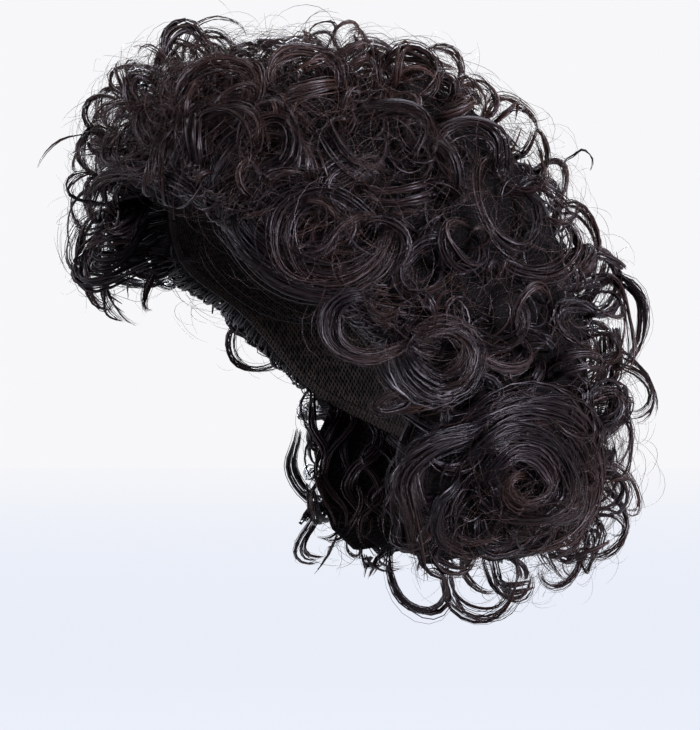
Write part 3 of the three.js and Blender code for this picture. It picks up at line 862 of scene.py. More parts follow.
# %% Loops from the tables
LYING_SHARES = 0.6, 0.65  # of a curl's width, along its axis and across it
CLEAR_SHARES = 0.9, 0.4
CURL_DRIFT = 0.9
ROW_STAGGER = 5
ROW_FACES = -10, 14
ROW_SWEEPS = -300, 310
ROW_STEP = 110
ROW_TALL = 0.9
ROW_SHAPE = dict(end=0.75, drift=14, width=14, thick=5)


def loop(bed, centre, axis, across, rise, inward, **shape):
    return dict(shape, bed=bed, centre=centre, axis=axis, across=across, rise=rise, inward=inward)


def hangs_clear(name, centre, radius):
    bed = BEDS[name]
    turn = math.degrees(math.atan2(centre[0], -centre[1]))
    return "hem" in bed.free and centre[2] - radius < parting(bed.hem, turn)[1]


def table_curl(bed, along, z, depth, radius, tall, start, sweep, end, face, width):
    centre = in_view(along, z, near_depth(along, z) if depth is None else depth)
    axis, across = facing(VIEW_TURN + face)
    broad, thick = LYING_SHARES if depth is None else CLEAR_SHARES
    return loop(
        bed, centre, axis, across, UP * tall, unit(HEART - centre),
        radius=radius, start=start, sweep=sweep, end=end,
        drift=width * CURL_DRIFT, width=width * broad, thick=width * thick,
        clear=depth is not None or hangs_clear(bed, centre, radius),
    )


def row_curls(bed, z, first, last, count, radius, start):
    for i in range(count):
        turn = first + (last - first) * i / (count - 1) if count > 1 else (first + last) / 2
        level = z + (ROW_STAGGER if i % 2 else -ROW_STAGGER)
        axis, across = facing(turn + ROW_FACES[i % 2])
        centre = form_point(turn, level)
        yield loop(
            bed, centre, axis, across, UP * ROW_TALL, -form_normal(turn, level),
            radius=radius - i % 3, start=start + ROW_STEP * i, sweep=ROW_SWEEPS[i % 2],
            clear=hangs_clear(bed, centre, radius), **ROW_SHAPE,
        )


TABLE_CURLS = [table_curl(*row) for row in CURLS]
for row in CURL_ROWS:
    TABLE_CURLS.extend(row_curls(*row))
clear_curls = sum(curl["clear"] for curl in TABLE_CURLS)
print("curls from the tables:", len(TABLE_CURLS), "hanging clear:", clear_curls)

# %% [markdown]
# ## Filling curls
# The spaces between the curls of the tables are filled at random, but from a seed, so each run
# gives the same wig. Of many places in a bed, the one with the most room round it is taken next. A
# filling curl has its axis anywhere between straight out, which shows as a swirl, and along the
# surface, which shows as a barrel. Every third one is slim and stands up. The curls keep some way off
# the hairline, so that none hangs below it, and a few more line the free sides of a bed.

# %% Places of the filling curls
FILL = {  # bed: number of filling curls
    "crown_curls": 42,
    "front_curls": 18,
    "left_side_curls": 36,
    "right_side_curls": 38,
    "back_curls": 70,
    "left_nape_roll": 16,
    "nape_curls": 20,
    "right_nape_roll": 20,
    "forelock": 8,
}
CANDIDATES = 900
HAIRLINE_REACH = 0.78


def bed_places(name, count, dice, reach=1.0):
    bed = BEDS[name]
    share = dice.random(count) * reach
    turn = bed.start + (bed.stop - bed.start) * dice.random(count)
    if bed.hem == "apex":
        share = np.sin((1 - np.sqrt(share)) * math.pi / 2)
    top_z = parting(bed.top, turn)[1]
    hem_z = parting(bed.hem, turn)[1]
    return turn, top_z + (hem_z - top_z) * share


def spread_out(name, count, dice):
    reach = HAIRLINE_REACH if BEDS[name].hem == "hairline" else 1.0
    turn, z = bed_places(name, CANDIDATES, dice, reach)
    points = form_point(turn, z)
    taken = [curl["centre"] for curl in TABLE_CURLS if curl["bed"] == name]
    room = np.min([np.linalg.norm(points - spot, axis=1) for spot in taken], axis=0)
    chosen = []
    while len(chosen) < count:
        chosen.append(int(np.argmax(room)))
        room = np.minimum(room, np.linalg.norm(points - points[chosen[-1]], axis=1))
    return turn[chosen], z[chosen]


print("filling curls in the beds:", sum(FILL.values()))

# %% Sizes of the filling curls
Manner = namedtuple("Manner", "lean stand")
LYING = Manner(lean=(0, 85), stand=(-8, 0))
STANDING = Manner(lean=(50, 88), stand=(0, 6))
FILL_RADIUS = 11, 22
FILL_START = -60, 60
FILL_SWEEP = 190, 400
FILL_END = 0.55, 0.95
FILL_DRIFT = 4, 10
FILL_TALL = 0.75, 1.2
FILL_WIDTH = 5, 16  # of a swirl and of a barrel
FILL_THICK = 10, 4
BARREL_TIGHTER = 5
BARREL_LONGER = 12
SLIM_RADIUS = 6, 16
SLIM_DRIFT = 9, 18
SLIM_WIDTH = 3.8
SLIM_THICK = 3.2
print("radius of filling curls:", FILL_RADIUS, "of slim ones:", SLIM_RADIUS)

# %% Loops of the filling curls
NUDGE = np.array([1e-6, 0, 0])
ASKEW = 0.01


def blend(pair, share):
    return pair[0] + (pair[1] - pair[0]) * share


def loop_axes(normal, lean, swing):
    lean, swing = np.asarray(lean), np.asarray(swing)
    level = unit(np.cross(UP, normal) + NUDGE)
    down = np.cross(normal, level)
    flat = level * np.cos(swing)[..., None] + down * np.sin(swing)[..., None]
    axis = unit(normal * np.cos(lean)[..., None] + flat * np.sin(lean)[..., None])
    across = unit(np.cross(axis, down + ASKEW * level))
    return axis, across, np.cross(axis, across)


def filling_curl(name, centre, normal, dice, manner):
    lean = np.radians(dice.uniform(*manner.lean))
    axis, across, rise = loop_axes(normal, lean, dice.uniform(0, 2 * math.pi))
    barrel = math.sin(lean)
    rooted = math.degrees(math.atan2(-normal @ rise, -normal @ across))
    shape = dict(
        radius=dice.uniform(*FILL_RADIUS) - BARREL_TIGHTER * barrel,
        start=rooted + dice.uniform(*FILL_START),
        sweep=dice.choice([-1, 1]) * dice.uniform(*FILL_SWEEP),
        end=dice.uniform(*FILL_END),
        drift=dice.uniform(*FILL_DRIFT) + BARREL_LONGER * barrel,
        width=blend(FILL_WIDTH, barrel),
        thick=blend(FILL_THICK, barrel),
    )
    slim = manner is STANDING
    if slim:
        shape.update(radius=dice.uniform(*SLIM_RADIUS), drift=dice.uniform(*SLIM_DRIFT))
        shape.update(width=SLIM_WIDTH, thick=SLIM_THICK)
    rise = rise * dice.uniform(*FILL_TALL)
    centre = centre + normal * dice.uniform(*manner.stand)
    return loop(name, centre, axis, across, rise, -normal, slim=slim, **shape)


crown_front = form_point(0.0, 40.0)
trial = filling_curl("crown_curls", crown_front, form_normal(0.0, 40.0), np.random.default_rng(1), LYING)
print("a trial curl turns by", round(trial["sweep"]), "degrees")

# %% Filling curls
FILL_SEED = 400
STANDING_EVERY = 3
HEM_ROOM = 14.0
EDGE_CURLS = 6
EDGE_PLACES = 0.08, 0.97
EDGE_SHARES = {"from": 0.04, "to": 0.96}
EDGE_SINK = 4


def filling_curls():
    curls = []
    for number, (name, count) in enumerate(FILL.items()):
        dice = np.random.default_rng(FILL_SEED + number)
        bed = BEDS[name]
        for i, (turn, z) in enumerate(zip(*spread_out(name, count, dice))):
            manner = STANDING if i % STANDING_EVERY == STANDING_EVERY - 1 else LYING
            if manner is STANDING and "hem" in bed.free:
                z = max(z, parting(bed.hem, turn)[1] + HEM_ROOM)
            point = form_point(turn, z)
            curls.append(filling_curl(name, point, form_normal(turn, z), dice, manner))
        for edge in [edge for edge in bed.free if edge in EDGE_SHARES]:
            for t in np.linspace(*EDGE_PLACES, EDGE_CURLS):
                inner, outer = bed_layers(name, np.array(EDGE_SHARES[edge]), np.array(t), EDGE_SINK)
                curls.append(filling_curl(name, outer, unit(outer - inner), dice, LYING))
    return curls


FILLING = filling_curls()
print("filling curls:", len(FILLING))

# %% [markdown]
# ## Swept locks
# Some locks are no loops: the front is swept up from the hairline, the temple ends in a wide roll,
# and a lock sweeps forward from the nape and falls in wisps. Each is drawn as a line of points on
# the left three-quarter view and laid on the outer form. Thin stray locks stand clear of the form,
# so they have a depth of their own. A smooth line through the points needs no curve object.

# %% Table of swept locks
SWEPT = [  # bed, width, thick, strands, lift, points (along, z)
    ("front_curls", 24, 6, 72, -2,
     [(-74, -34), (-68, -15), (-57, 1), (-41, 12), (-19, 14), (-2, 4), (5, -10)]),
    ("front_curls", 20, 6, 62, 0,
     [(-52, -41), (-48, -24), (-38, -10), (-23, -3), (-5, -7), (6, -21)]),
    ("front_curls", 16, 8, 58, -5,
     [(-48, -42), (-66, -29), (-82, -22), (-98, -19), (-112, -24), (-120, -37), (-117, -48)]),
    ("left_side_curls", 20, 7, 84, 2,
     [(-42, -44), (-33, -59), (-20, -72), (-3, -81), (16, -84), (32, -77), (42, -65), (45, -48)]),
    ("left_side_curls", 10, 6, 36, 5,
     [(-18, -58), (-19, -48), (-10, -41), (3, -40), (14, -47), (23, -58)]),
    ("left_side_curls", 9, 6, 32, -1,
     [(-10, -60), (-2, -66), (10, -64), (16, -56), (28, -48), (40, -50)]),
    ("left_side_curls", 18, 6, 56, -1,
     [(-36, -48), (-24, -30), (-6, -24), (14, -28), (30, -20), (44, -24)]),
    ("left_side_curls", 10, 8, 50, 3,
     [(39, -91), (25, -89), (14, -96), (12, -109), (18, -118), (31, -122), (46, -118), (56, -112)]),
    ("left_side_curls", 13, 7, 56, 3,
     [(47, -112), (51, -129), (66, -140), (82, -134), (88, -117), (77, -105), (61, -108), (57, -120)]),
    ("left_side_curls", 7, 4, 28, 2,
     [(35, -118), (42, -134), (53, -144), (42, -149), (36, -147), (42, -142), (61, -135), (75, -136)]),
    ("left_nape_roll", 13, 5, 56, 1,
     [(105, -155), (89, -161), (69, -167), (55, -177), (50, -188), (53, -200), (58, -222), (62, -244)]),
    ("left_nape_roll", 7, 4, 28, 3,
     [(87, -187), (72, -194), (68, -204), (70, -214), (78, -222), (95, -232)]),
    ("left_nape_roll", 18, 8, 76, 2,
     [(80, -169), (94, -153), (116, -146), (138, -151), (152, -167), (156, -189), (149, -211), (133, -224),
      (113, -228)]),
    ("left_nape_roll", 14, 8, 62, 6,
     [(89, -183), (93, -167), (108, -158), (127, -162), (139, -177), (141, -194), (130, -208), (113, -212),
      (100, -205)]),
    ("left_nape_roll", 12, 7, 52, 5,
     [(99, -194), (100, -180), (110, -171), (123, -174), (130, -186), (124, -197), (112, -200), (105, -191),
      (111, -183), (120, -184)]),
    ("back_curls", 6, 5, 30, 0,
     [(146, -84), (163, -80), (173, -78), (184, -87), (187, -101), (184, -114), (176, -124), (164, -133)]),
]
STRAYS = [  # bed, strands, depth, points (along, z) of thin locks that stand clear of the rest
    ("front_curls", 4, -12, [(-92, 2), (-108, 3), (-124, 2), (-137, -1), (-147, -10), (-152, -21)]),
    ("front_curls", 7, 0, [(-84, 20), (-79, 31), (-86, 38), (-99, 41)]),
    ("front_curls", 6, -4, [(-100, -20), (-118, -26), (-130, -37), (-133, -52), (-129, -68)]),
    ("crown_curls", 7, 4, [(-66, 34), (-69, 45), (-64, 59), (-51, 65), (-38, 61), (-33, 50)]),
    ("crown_curls", 6, 2, [(4, 44), (14, 56), (12, 63), (2, 60), (-1, 50)]),
    ("back_curls", 5, -14, [(102, 6), (112, 16), (122, 14), (126, 4), (121, -6)]),
    ("back_curls", 4, -16, [(136, -14), (145, -10), (152, -6), (157, -12), (155, -21)]),
    ("back_curls", 6, -18, [(134, -58), (143, -47), (151, -40), (156, -52), (161, -66)]),
    ("back_curls", 7, -20, [(168, -112), (181, -124), (189, -136), (193, -148), (189, -160)]),
    ("forelock", 9, 2, [(-116, -50), (-120, -58), (-123, -68), (-120, -80), (-115, -89)]),
    ("forelock", 12, -4, [(-110, -54), (-112, -70), (-113, -86), (-112, -97), (-104, -101), (-96, -100)]),
    ("left_nape_roll", 6, 40, [(70, -196), (66, -212), (63, -230), (62, -246)]),
    ("left_nape_roll", 7, 10, [(84, -236), (80, -250), (86, -262), (98, -265), (109, -258), (113, -246)]),
]
print("swept locks:", len(SWEPT), "stray locks:", len(STRAYS))

# %% Lines of the swept locks
LINE_END = 0.99999


def on_form(along, z, lift):
    return in_view(along, z, near_depth(along, z) + lift)


def spline(points, s):
    ends = np.concatenate([[2 * points[0] - points[1]], points, [2 * points[-1] - points[-2]]])
    spot = np.clip(s, 0, LINE_END) * (len(points) - 1)
    k = spot.astype(int)
    f = (spot - k)[..., None]
    a, b, c, d = ends[k], ends[k + 1], ends[k + 2], ends[k + 3]
    return b + 0.5 * f * (c - a + f * (2 * a - 5 * b + 4 * c - d + f * (3 * (b - c) + d - a)))


print("the nape lock starts at", on_form(105, -155, 1).round(0))

# %% [markdown]
# ## From a lock to its strands
# The hairs of a lock hold together in a few clumps. Each clump has its own place across the lock, its
# own size of loop and its own length, and the strands in it differ a little more. The root end bends
# into the bed, so that no lock starts in the air, and every clump gathers toward its tip. A slow wave
# through space ruffles all curls alike, and the clumps of a swept lock wander in and out, because
# perfect rings would look like springs.

# %% Places of the strands in a lock
ROOT_GATHER = 0.62
FULL_AT = 0.5
TIP_GATHER = 0.55
OWN_PLACE = 0.3
OWN_CALM = 0.6
WAVE_SIZE = 0.3, 1.1
WAVE_COUNT = 0.8, 2.2
WAVE_ASIDE = 0.8
WAVE_OUTSIDE = 0.6
RUFFLE = 3.0
RUFFLE_LENGTHS = (12, 17), (12, 19), (11, 16)  # of the waves along x, y and z and of their bends


def by_clump(clump, dice, low, high):
    return dice.uniform(low, high, clump.max() + 1)[clump][:, None]


def strand_lay(s, lock, clump, stray, dice):
    count = len(clump)
    opening = np.sin(np.minimum(s / FULL_AT, 1) * math.pi / 2)
    gather = (ROOT_GATHER + (1 - ROOT_GATHER) * opening) * (1 - TIP_GATHER * s**3)
    seat = by_clump(clump, dice, 0, 2 * math.pi)
    reach = np.sqrt(by_clump(clump, dice, 0, 1))
    own = dice.normal(0, OWN_PLACE, (2, count, 1)) * stray * (1 - OWN_CALM * s**2)
    aside = (np.cos(seat) * reach + own[0]) * gather * lock["width"] / 2
    outside = (np.sin(seat) * reach + own[1]) * gather * lock["thick"] / 2
    wave = dice.uniform(*WAVE_SIZE, (count, 1)) * stray
    phase = dice.uniform(0, 2 * math.pi, (count, 1))
    wobble = wave * np.sin(2 * math.pi * dice.uniform(*WAVE_COUNT, (count, 1)) * s + phase)
    return aside + WAVE_ASIDE * wobble, outside + WAVE_OUTSIDE * wobble


def ruffled(points):
    x, y, z = np.moveaxis(points, -1, 0)
    pairs = zip([(y, z), (z, x), (x, y)], RUFFLE_LENGTHS)
    wave = [np.sin(along / long + np.sin(aside / bend)) for (along, aside), (long, bend) in pairs]
    return points + RUFFLE * np.stack(wave, -1)


print("a ruffle moves the front of the crown by", (ruffled(crown_front) - crown_front).round(1))

# %% Paths of curls
TABLE_STEPS = 9.5
FILL_STEPS = 7.0
STEPS_PER_MM = 0.42
CURL_LENGTH = 0.8, 1.0
OWN_LENGTH = 0.93, 1.0
CLUMP_SWING = -9, 9
OWN_SWING = 2.5
CLUMP_WIDER = -0.13, 0.09
OWN_WIDER = 0.03
CLUMP_OVAL = 0, 0.16
CLUMP_SHIFT = -0.16, 0.16
ROOT_SHARE = 0.16
ROOT_DIP = 13.0


def root_bend(s, dip):
    return np.clip(1 - s / ROOT_SHARE, 0, 1) ** 2 * dip


def curl_paths(curl, clump, stray, dice):
    count = len(clump)
    steps_per_turn = (FILL_STEPS if "slim" in curl else TABLE_STEPS) + STEPS_PER_MM * curl["radius"]
    steps = int(math.ceil(abs(curl["sweep"]) / FULL_TURN * steps_per_turn)) + 2
    length = by_clump(clump, dice, *CURL_LENGTH) * dice.uniform(*OWN_LENGTH, (count, 1))
    s = np.linspace(0, 1, steps)[None] * length
    swing = by_clump(clump, dice, *CLUMP_SWING) + dice.normal(0, OWN_SWING, (count, 1)) * stray
    angle = np.radians(curl["start"] + curl["sweep"] * s + swing)
    aside, outside = strand_lay(s, curl, clump, stray, dice)
    wider = 1 + by_clump(clump, dice, *CLUMP_WIDER) + dice.normal(0, OWN_WIDER, (count, 1)) * stray
    oval = by_clump(clump, dice, *CLUMP_OVAL) * np.cos(2 * angle + by_clump(clump, dice, 0, 2 * math.pi))
    radius = curl["radius"] * (1 + (curl["end"] - 1) * s) * (wider + oval) + outside
    shift = curl["radius"] * s
    right = radius * np.cos(angle) + by_clump(clump, dice, *CLUMP_SHIFT) * shift
    above = radius * np.sin(angle) + by_clump(clump, dice, *CLUMP_SHIFT) * shift
    aside = aside + curl["drift"] * (s - 0.5)
    paths = (
        curl["centre"]
        + right[..., None] * curl["across"]
        + above[..., None] * curl["rise"]
        + aside[..., None] * curl["axis"]
        + root_bend(s, ROOT_DIP)[..., None] * curl["inward"]
    )
    return ruffled(paths), s, np.broadcast_to(curl["axis"], paths.shape)


trial = curl_paths(TABLE_CURLS[0], np.zeros(1, int), np.zeros((1, 1)), np.random.default_rng(1))[0]
print("points on a strand of the first curl:", trial.shape[1])

# %% Paths of swept locks
SWEPT_LENGTH = 0.82, 1.0
WANDER_TURN = 3 * math.pi


def swept_paths(lock, clump, stray, dice):
    count = len(clump)
    steps = 2 * len(lock["points"]) + 1
    length = by_clump(clump, dice, *SWEPT_LENGTH) * dice.uniform(*OWN_LENGTH, (count, 1))
    s = np.linspace(0, 1, steps)[None] * length
    aside, outside = strand_lay(s, lock, clump, stray, dice)
    middle = spline(lock["points"], s)
    tangent = unit(np.gradient(middle, axis=1))
    across = unit(np.cross(tangent, unit(middle - HEART)))
    lift = outside - root_bend(s, lock["dip"])
    paths = middle + aside[..., None] * across + lift[..., None] * np.cross(across, tangent)
    turn = WANDER_TURN * s + by_clump(clump, dice, 0, 2 * math.pi)
    wander = 1 + lock["wander"] * by_clump(clump, dice, -1, 1) * np.sin(turn)
    heart = lock["points"].mean(0)
    return heart + (paths - heart) * wander[..., None], s, across


first_line = np.array([on_form(along, z, 0) for along, z in SWEPT[0][-1]])
first_length = np.linalg.norm(np.diff(first_line, axis=0), axis=1).sum()
print("length of the first swept lock in mm:", round(first_length))

# %% [markdown]
# ## Kinds of strand
# One table says how wide, how flat and how free the ribbons, wisps and hairs of a lock are, and which
# share of the strands each kind has. The swept locks are larger and show finer hair, so they have a
# table of their own. Thin stray locks have no ribbons, and curls that hang clear have narrower ones,
# because light shows between their hairs.

# %% Locks of strands
KINDS = np.array([  # share, least half width, most half width, flatness, freedom
    (0.34, 0.90, 1.90, 0.30, 0.7),
    (0.51, 0.32, 0.66, 0.50, 1.2),
    (0.15, 0.10, 0.17, 1.00, 2.8),
])
SWEPT_KINDS = np.array([
    (0.20, 0.80, 1.50, 0.30, 0.8),
    (0.52, 0.26, 0.52, 0.50, 1.5),
    (0.28, 0.10, 0.17, 1.00, 3.0),
])
STRAY_KINDS = KINDS[1:] * [2, 1, 1, 1, 0.7]
CLEAR_KINDS = KINDS * [1, 0.6, 0.6, 1, 1]
CLUMP_STRANDS = 5
HALF_TONE = 0.5
ROOT_WIDTH = 0.2
ROOT_GROWTH = 4.0
TIP_LOSS = 0.9


def taper(s, half):
    return half * np.clip(ROOT_WIDTH + ROOT_GROWTH * s, 0, 1) * (1 - TIP_LOSS * s**3)


def add_lock(strands, lock, dice, count, kinds=KINDS, brown_and_backlight=0.0):
    kind = np.searchsorted(np.cumsum(kinds[:, 0]), (np.arange(count) + 0.5) / count)
    least, most, flat, free = kinds[np.minimum(kind, len(kinds) - 1), 1:].T[..., None]
    clump = np.arange(count) % max(2, count // CLUMP_STRANDS)
    lay = swept_paths if "points" in lock else curl_paths
    paths, s, side = lay(lock, clump, free, dice)
    half = dice.uniform(least, most)
    tone = dice.uniform(0, HALF_TONE) + dice.uniform(0, HALF_TONE, count)
    twist = dice.uniform(0, math.pi, count)
    width = taper(s / s[:, -1:], half)
    strands.add(paths, side, width, width * flat, tone, brown_and_backlight + (1 - brown_and_backlight) * s, twist)


print("shares of ribbons, wisps and hairs:", KINDS[:, 0], "in swept locks:", SWEPT_KINDS[:, 0])

# %% [markdown]
# ## Loose hair
# Real curls shed hairs all over. Under the locks lies a coat of short broad ribbons, over them lie
# thousands of single hairs that left their lock, others stick out between the curls, and a few very
# fine ones stand clear of the rest as a halo. Each is an arc of its own size, so one function makes
# all four kinds from a table. Hairs that would reach too far from the solids are left out.

# %% Table of loose hair
LOOSE = {  # bed: number of loose hairs
    "crown_curls": 420,
    "front_curls": 260,
    "left_side_curls": 460,
    "right_side_curls": 340,
    "back_curls": 540,
    "left_nape_roll": 220,
    "nape_curls": 200,
    "right_nape_roll": 180,
    "forelock": 60,
}
# painted backlight, with the hair's own brown: the last column browns the finest hairs
LOOSE_KINDS = [  # share, reach, depth (least, usual, most), radius, sweep, lean, half width, flatness, brown
    (0.45, 0.84, (-15, -10, -6), (8, 20), (90, 180), 24, (0.9, 2.0), 0.3, 0.0),
    (1.30, 0.82, (-6, 1, 5), (11, 28), (60, 150), 34, (0.08, 0.15), 1.0, 0.6),
    (0.40, 1.00, (-8, 0, 7), (7, 24), (60, 190), 75, (0.10, 0.18), 1.0, 0.6),
    (0.45, 1.00, (1, 5, 13), (8, 24), (50, 150), 85, (0.06, 0.10), 1.0, 0.6),
]
print("loose hairs:", sum(int(count * kind[0]) for count in LOOSE.values() for kind in LOOSE_KINDS))

# %% Loose hair of a bed
LOOSE_STEPS = 8
LOOSE_CLOSING = 0.2
LOOSE_DRIFT = -12, 12
LOOSE_TAPER = 0.12, 0.92
LOOSE_TILT = 0.3
# painted backlight, with the hair's own brown: loose hair browns toward its tips
LOOSE_BROWN_AND_BACKLIGHT = 0.4
LOOSE_ROOM = 13.0
ROOM_LOW = np.array(CAD_BOX[0]) / MM - LOOSE_ROOM
ROOM_HIGH = np.array(CAD_BOX[1]) / MM + LOOSE_ROOM


def add_loose(strands, name, dice, kind):
    share, reach, depth, radius, sweep, lean, width, flat, brown_and_backlight = kind
    count = int(LOOSE[name] * share)
    turn, z = bed_places(name, count, dice, reach)
    normal = form_normal(turn, z)
    tilt = np.radians(dice.uniform(0, lean, count))
    axis, across, rise = loop_axes(normal, tilt, dice.uniform(0, 2 * math.pi, count))
    centre = form_point(turn, z) + normal * dice.triangular(*depth, count)[:, None]
    s = np.broadcast_to(np.linspace(0, 1, LOOSE_STEPS), (count, LOOSE_STEPS))
    bow = dice.uniform(*radius, (count, 1)) * (1 - LOOSE_CLOSING * s)
    bend = dice.uniform(*sweep, (count, 1)) * dice.choice([-1, 1], (count, 1))
    angle = np.radians(dice.uniform(0, FULL_TURN, (count, 1)) + bend * s)
    paths = (
        centre[:, None]
        + (bow * np.cos(angle))[..., None] * across[:, None]
        + (bow * np.sin(angle))[..., None] * rise[:, None]
        + (dice.uniform(*LOOSE_DRIFT, (count, 1)) * s)[..., None] * axis[:, None]
    )
    half = dice.uniform(*width, (count, 1)) * np.sin(math.pi * blend(LOOSE_TAPER, s))
    tone = dice.uniform(0, 1, count)
    kept = np.all((paths > ROOM_LOW) & (paths < ROOM_HIGH), axis=(1, 2))
    side = np.broadcast_to(across[:, None] + LOOSE_TILT * axis[:, None], paths.shape)
    half = half[kept]
    strands.add(paths[kept], side[kept], half, half * flat, tone[kept], brown_and_backlight + LOOSE_BROWN_AND_BACKLIGHT * s[kept])


print("loose hair stays between", ROOM_LOW.round(0), "and", ROOM_HIGH.round(0))

# %% [markdown]
# ## Roots along the hairline
# The hair leaves the cap along the hairline, turns over the edge and runs up the outside, so the
# edge shows as a row of roots and not as a rim. Each root is a smooth line through five places in
# its bed, which follows the hairline wherever that goes.

# %% Roots along the hairline
ROOTS_PER_DEGREE = 4.6
ROOT_STEPS = 11
ROOT_LINE = [(1.0, 0.0, 2.0), (0.9, 0.15, 1.0), (0.74, 0.5, -1.0), (0.5, 1.0, 3.0)]  # down, aside, sink
ROOT_PARTING = 12  # turn where the roots part to both sides
ROOT_SWEEP = 4, 30
ROOT_JITTER = -0.06, 0.04
ROOT_DROP = 0, 4
ROOT_HALF_WIDTH = 0.3, 1.2
ROOT_FLATNESS = 0.5
ROOT_TONE = 0, 0.8
ROOT_SIDE = UP + [0.1, 0.2, 0]
CLIMB_TURNS = 45, 85
CLIMB_SHARES = 1.0, 0.35


def root_count(bed):
    return int((bed.stop - bed.start) * ROOTS_PER_DEGREE)


def add_hairline(strands, name, dice):
    bed = BEDS[name]
    span = bed.stop - bed.start
    count = root_count(bed)
    place = dice.random(count)
    turn = bed.start + span * place
    back = np.where(turn > ROOT_PARTING, 1.0, -1.0) * dice.uniform(*ROOT_SWEEP, count) / span
    points = [bed_layers(name, place, 0 * place + 1.0, 0)[0]]
    climb = np.interp(from_front(turn), CLIMB_TURNS, CLIMB_SHARES)
    for down, aside, sink in ROOT_LINE:
        level = np.minimum(1 - (1 - down) * climb + dice.uniform(*ROOT_JITTER, count), 1)
        points.append(bed_layers(name, place + back * aside, level, sink)[1])
    points[1] = points[1] - UP * dice.uniform(*ROOT_DROP, (count, 1))
    points = np.stack(points)
    s = np.linspace(0, 1, ROOT_STEPS)
    paths = np.stack([spline(points[:, k], s) for k in range(count)])
    s = np.broadcast_to(s, (count, ROOT_STEPS))
    half = dice.uniform(*ROOT_HALF_WIDTH, (count, 1))
    side = np.broadcast_to(ROOT_SIDE, paths.shape)
    twist = dice.uniform(0, math.pi, count)
    width = taper(s, half)
    strands.add(paths, side, width, width * ROOT_FLATNESS, dice.uniform(*ROOT_TONE, count), s, twist)


print("roots:", sum(root_count(bed) for bed in BEDS.values() if bed.hem == "hairline"))

# %% [markdown]
# ## Hair inside the nape
# Below the cap the hair of the nape hangs free, and from the front one looks at its inner side. Wavy
# locks hang there from behind the rim and hide the flat side of the bed. They are made as swept locks
# are, from a line of points for each.

# %% Hair inside the nape
LINING_SPACING = 4.5
LINING_STRANDS = 13
LINING_STEPS = 8
LINING_PLACE = 0.2, 0.8
LINING_SWAY = 3, 6
LINING_WAVES = 7, 12
LINING_PHASE = 0, 6
LINING_MARGIN = 2
LINING_RISE = math.radians(2)
LINING_FALL = 0.9, 1.12
LINING_CLEAR = 1, 5
LINING_WIDTH = 7, 12
LINING_SHAPE = dict(thick=3, dip=-2, wander=0)
HIDDEN_ROOTS = 7  # the first seventh of a lock stays behind the rim of the cap


def lining_count(bed):
    return int((bed.stop - bed.start) / LINING_SPACING)


def add_lining(strands, name, dice):
    bed = BEDS[name]
    count = lining_count(bed)
    fall = np.linspace(0, 1, LINING_STEPS)
    clear = np.clip(fall * HIDDEN_ROOTS - 1, 0, 1)
    for k in range(count):
        middle = bed.start + (bed.stop - bed.start) * (k + dice.uniform(*LINING_PLACE)) / count
        sway = dice.uniform(*LINING_SWAY)
        turn = middle + sway * np.sin(fall * dice.uniform(*LINING_WAVES) + dice.uniform(*LINING_PHASE))
        turn = np.clip(turn, bed.start + LINING_MARGIN, bed.stop - LINING_MARGIN)
        top_lat = cap_lat(rim_level(middle)) + LINING_RISE
        lat = top_lat + (parting(bed.hem, middle)[0] - top_lat) * fall * dice.uniform(*LINING_FALL)
        line = cap_point(turn, lat, SEAT - clear * dice.uniform(*LINING_CLEAR, len(fall)))
        lock = dict(LINING_SHAPE, points=line, width=dice.uniform(*LINING_WIDTH))
        add_lock(strands, lock, dice, LINING_STRANDS)


print("locks inside the nape:", sum(lining_count(bed) for bed in BEDS.values() if bed.hem == "nape_hem"))

# %% [markdown]
# ## Dressing the beds
# Each bed now gets its locks and its loose hair as one mesh, because one object is easier to handle
# than thousands. The curls that hang clear are painted a little browner, as painted backlight, since
# hair against the light shows brown. The triangle count of every piece is printed, because very
# heavy meshes are slow to open.

# %% Locks of every bed
LOCK_SEED = 700
TABLE_STRANDS = 22
FILL_STRANDS = 15
SLIM_STRANDS = 11
# painted backlight: curls that hang clear, and slim ones, are mixed further toward brown
CLEAR_BACKLIT_BROWN = 0.4
SWEPT_SHAPE = dict(dip=ROOT_DIP, wander=0.14)
STRAY_SHAPE = dict(width=2.6, thick=2.2, dip=ROOT_DIP, wander=0)


def drawn_locks(name):
    for bed, width, thick, count, lift, points in SWEPT:
        if bed == name:
            line = np.array([on_form(along, z, lift) for along, z in points])
            yield dict(SWEPT_SHAPE, points=line, width=width, thick=thick), count, SWEPT_KINDS
    for bed, count, depth, points in STRAYS:
        if bed == name:
            line = np.array([in_view(along, z, depth) for along, z in points])
            yield dict(STRAY_SHAPE, points=line), count, STRAY_KINDS


def dressed(name, number):
    dice = np.random.default_rng(LOCK_SEED + number)
    strands = Strands()
    for curl in [curl for curl in TABLE_CURLS if curl["bed"] == name]:
        finer = (CLEAR_KINDS, CLEAR_BACKLIT_BROWN) if curl["clear"] else ()
        add_lock(strands, curl, dice, TABLE_STRANDS, *finer)
    for curl in [curl for curl in FILLING if curl["bed"] == name]:
        if curl["slim"]:
            add_lock(strands, curl, dice, SLIM_STRANDS, CLEAR_KINDS, CLEAR_BACKLIT_BROWN)
        else:
            add_lock(strands, curl, dice, FILL_STRANDS)
    for lock, count, kinds in drawn_locks(name):
        add_lock(strands, lock, dice, count, kinds)
    if BEDS[name].hem == "hairline":
        add_hairline(strands, name, dice)
    if BEDS[name].hem == "nape_hem":
        add_lining(strands, name, dice)
    for kind in LOOSE_KINDS:
        add_loose(strands, name, dice, kind)
    piece = strands.piece(name + "_locks", name)
    print(piece.name, "triangles:", triangles(piece))
    return piece


LOCKS = [dressed(name, number) for number, name in enumerate(BEDS)]
print("lock triangles in all:", sum(triangles(piece) for piece in LOCKS))

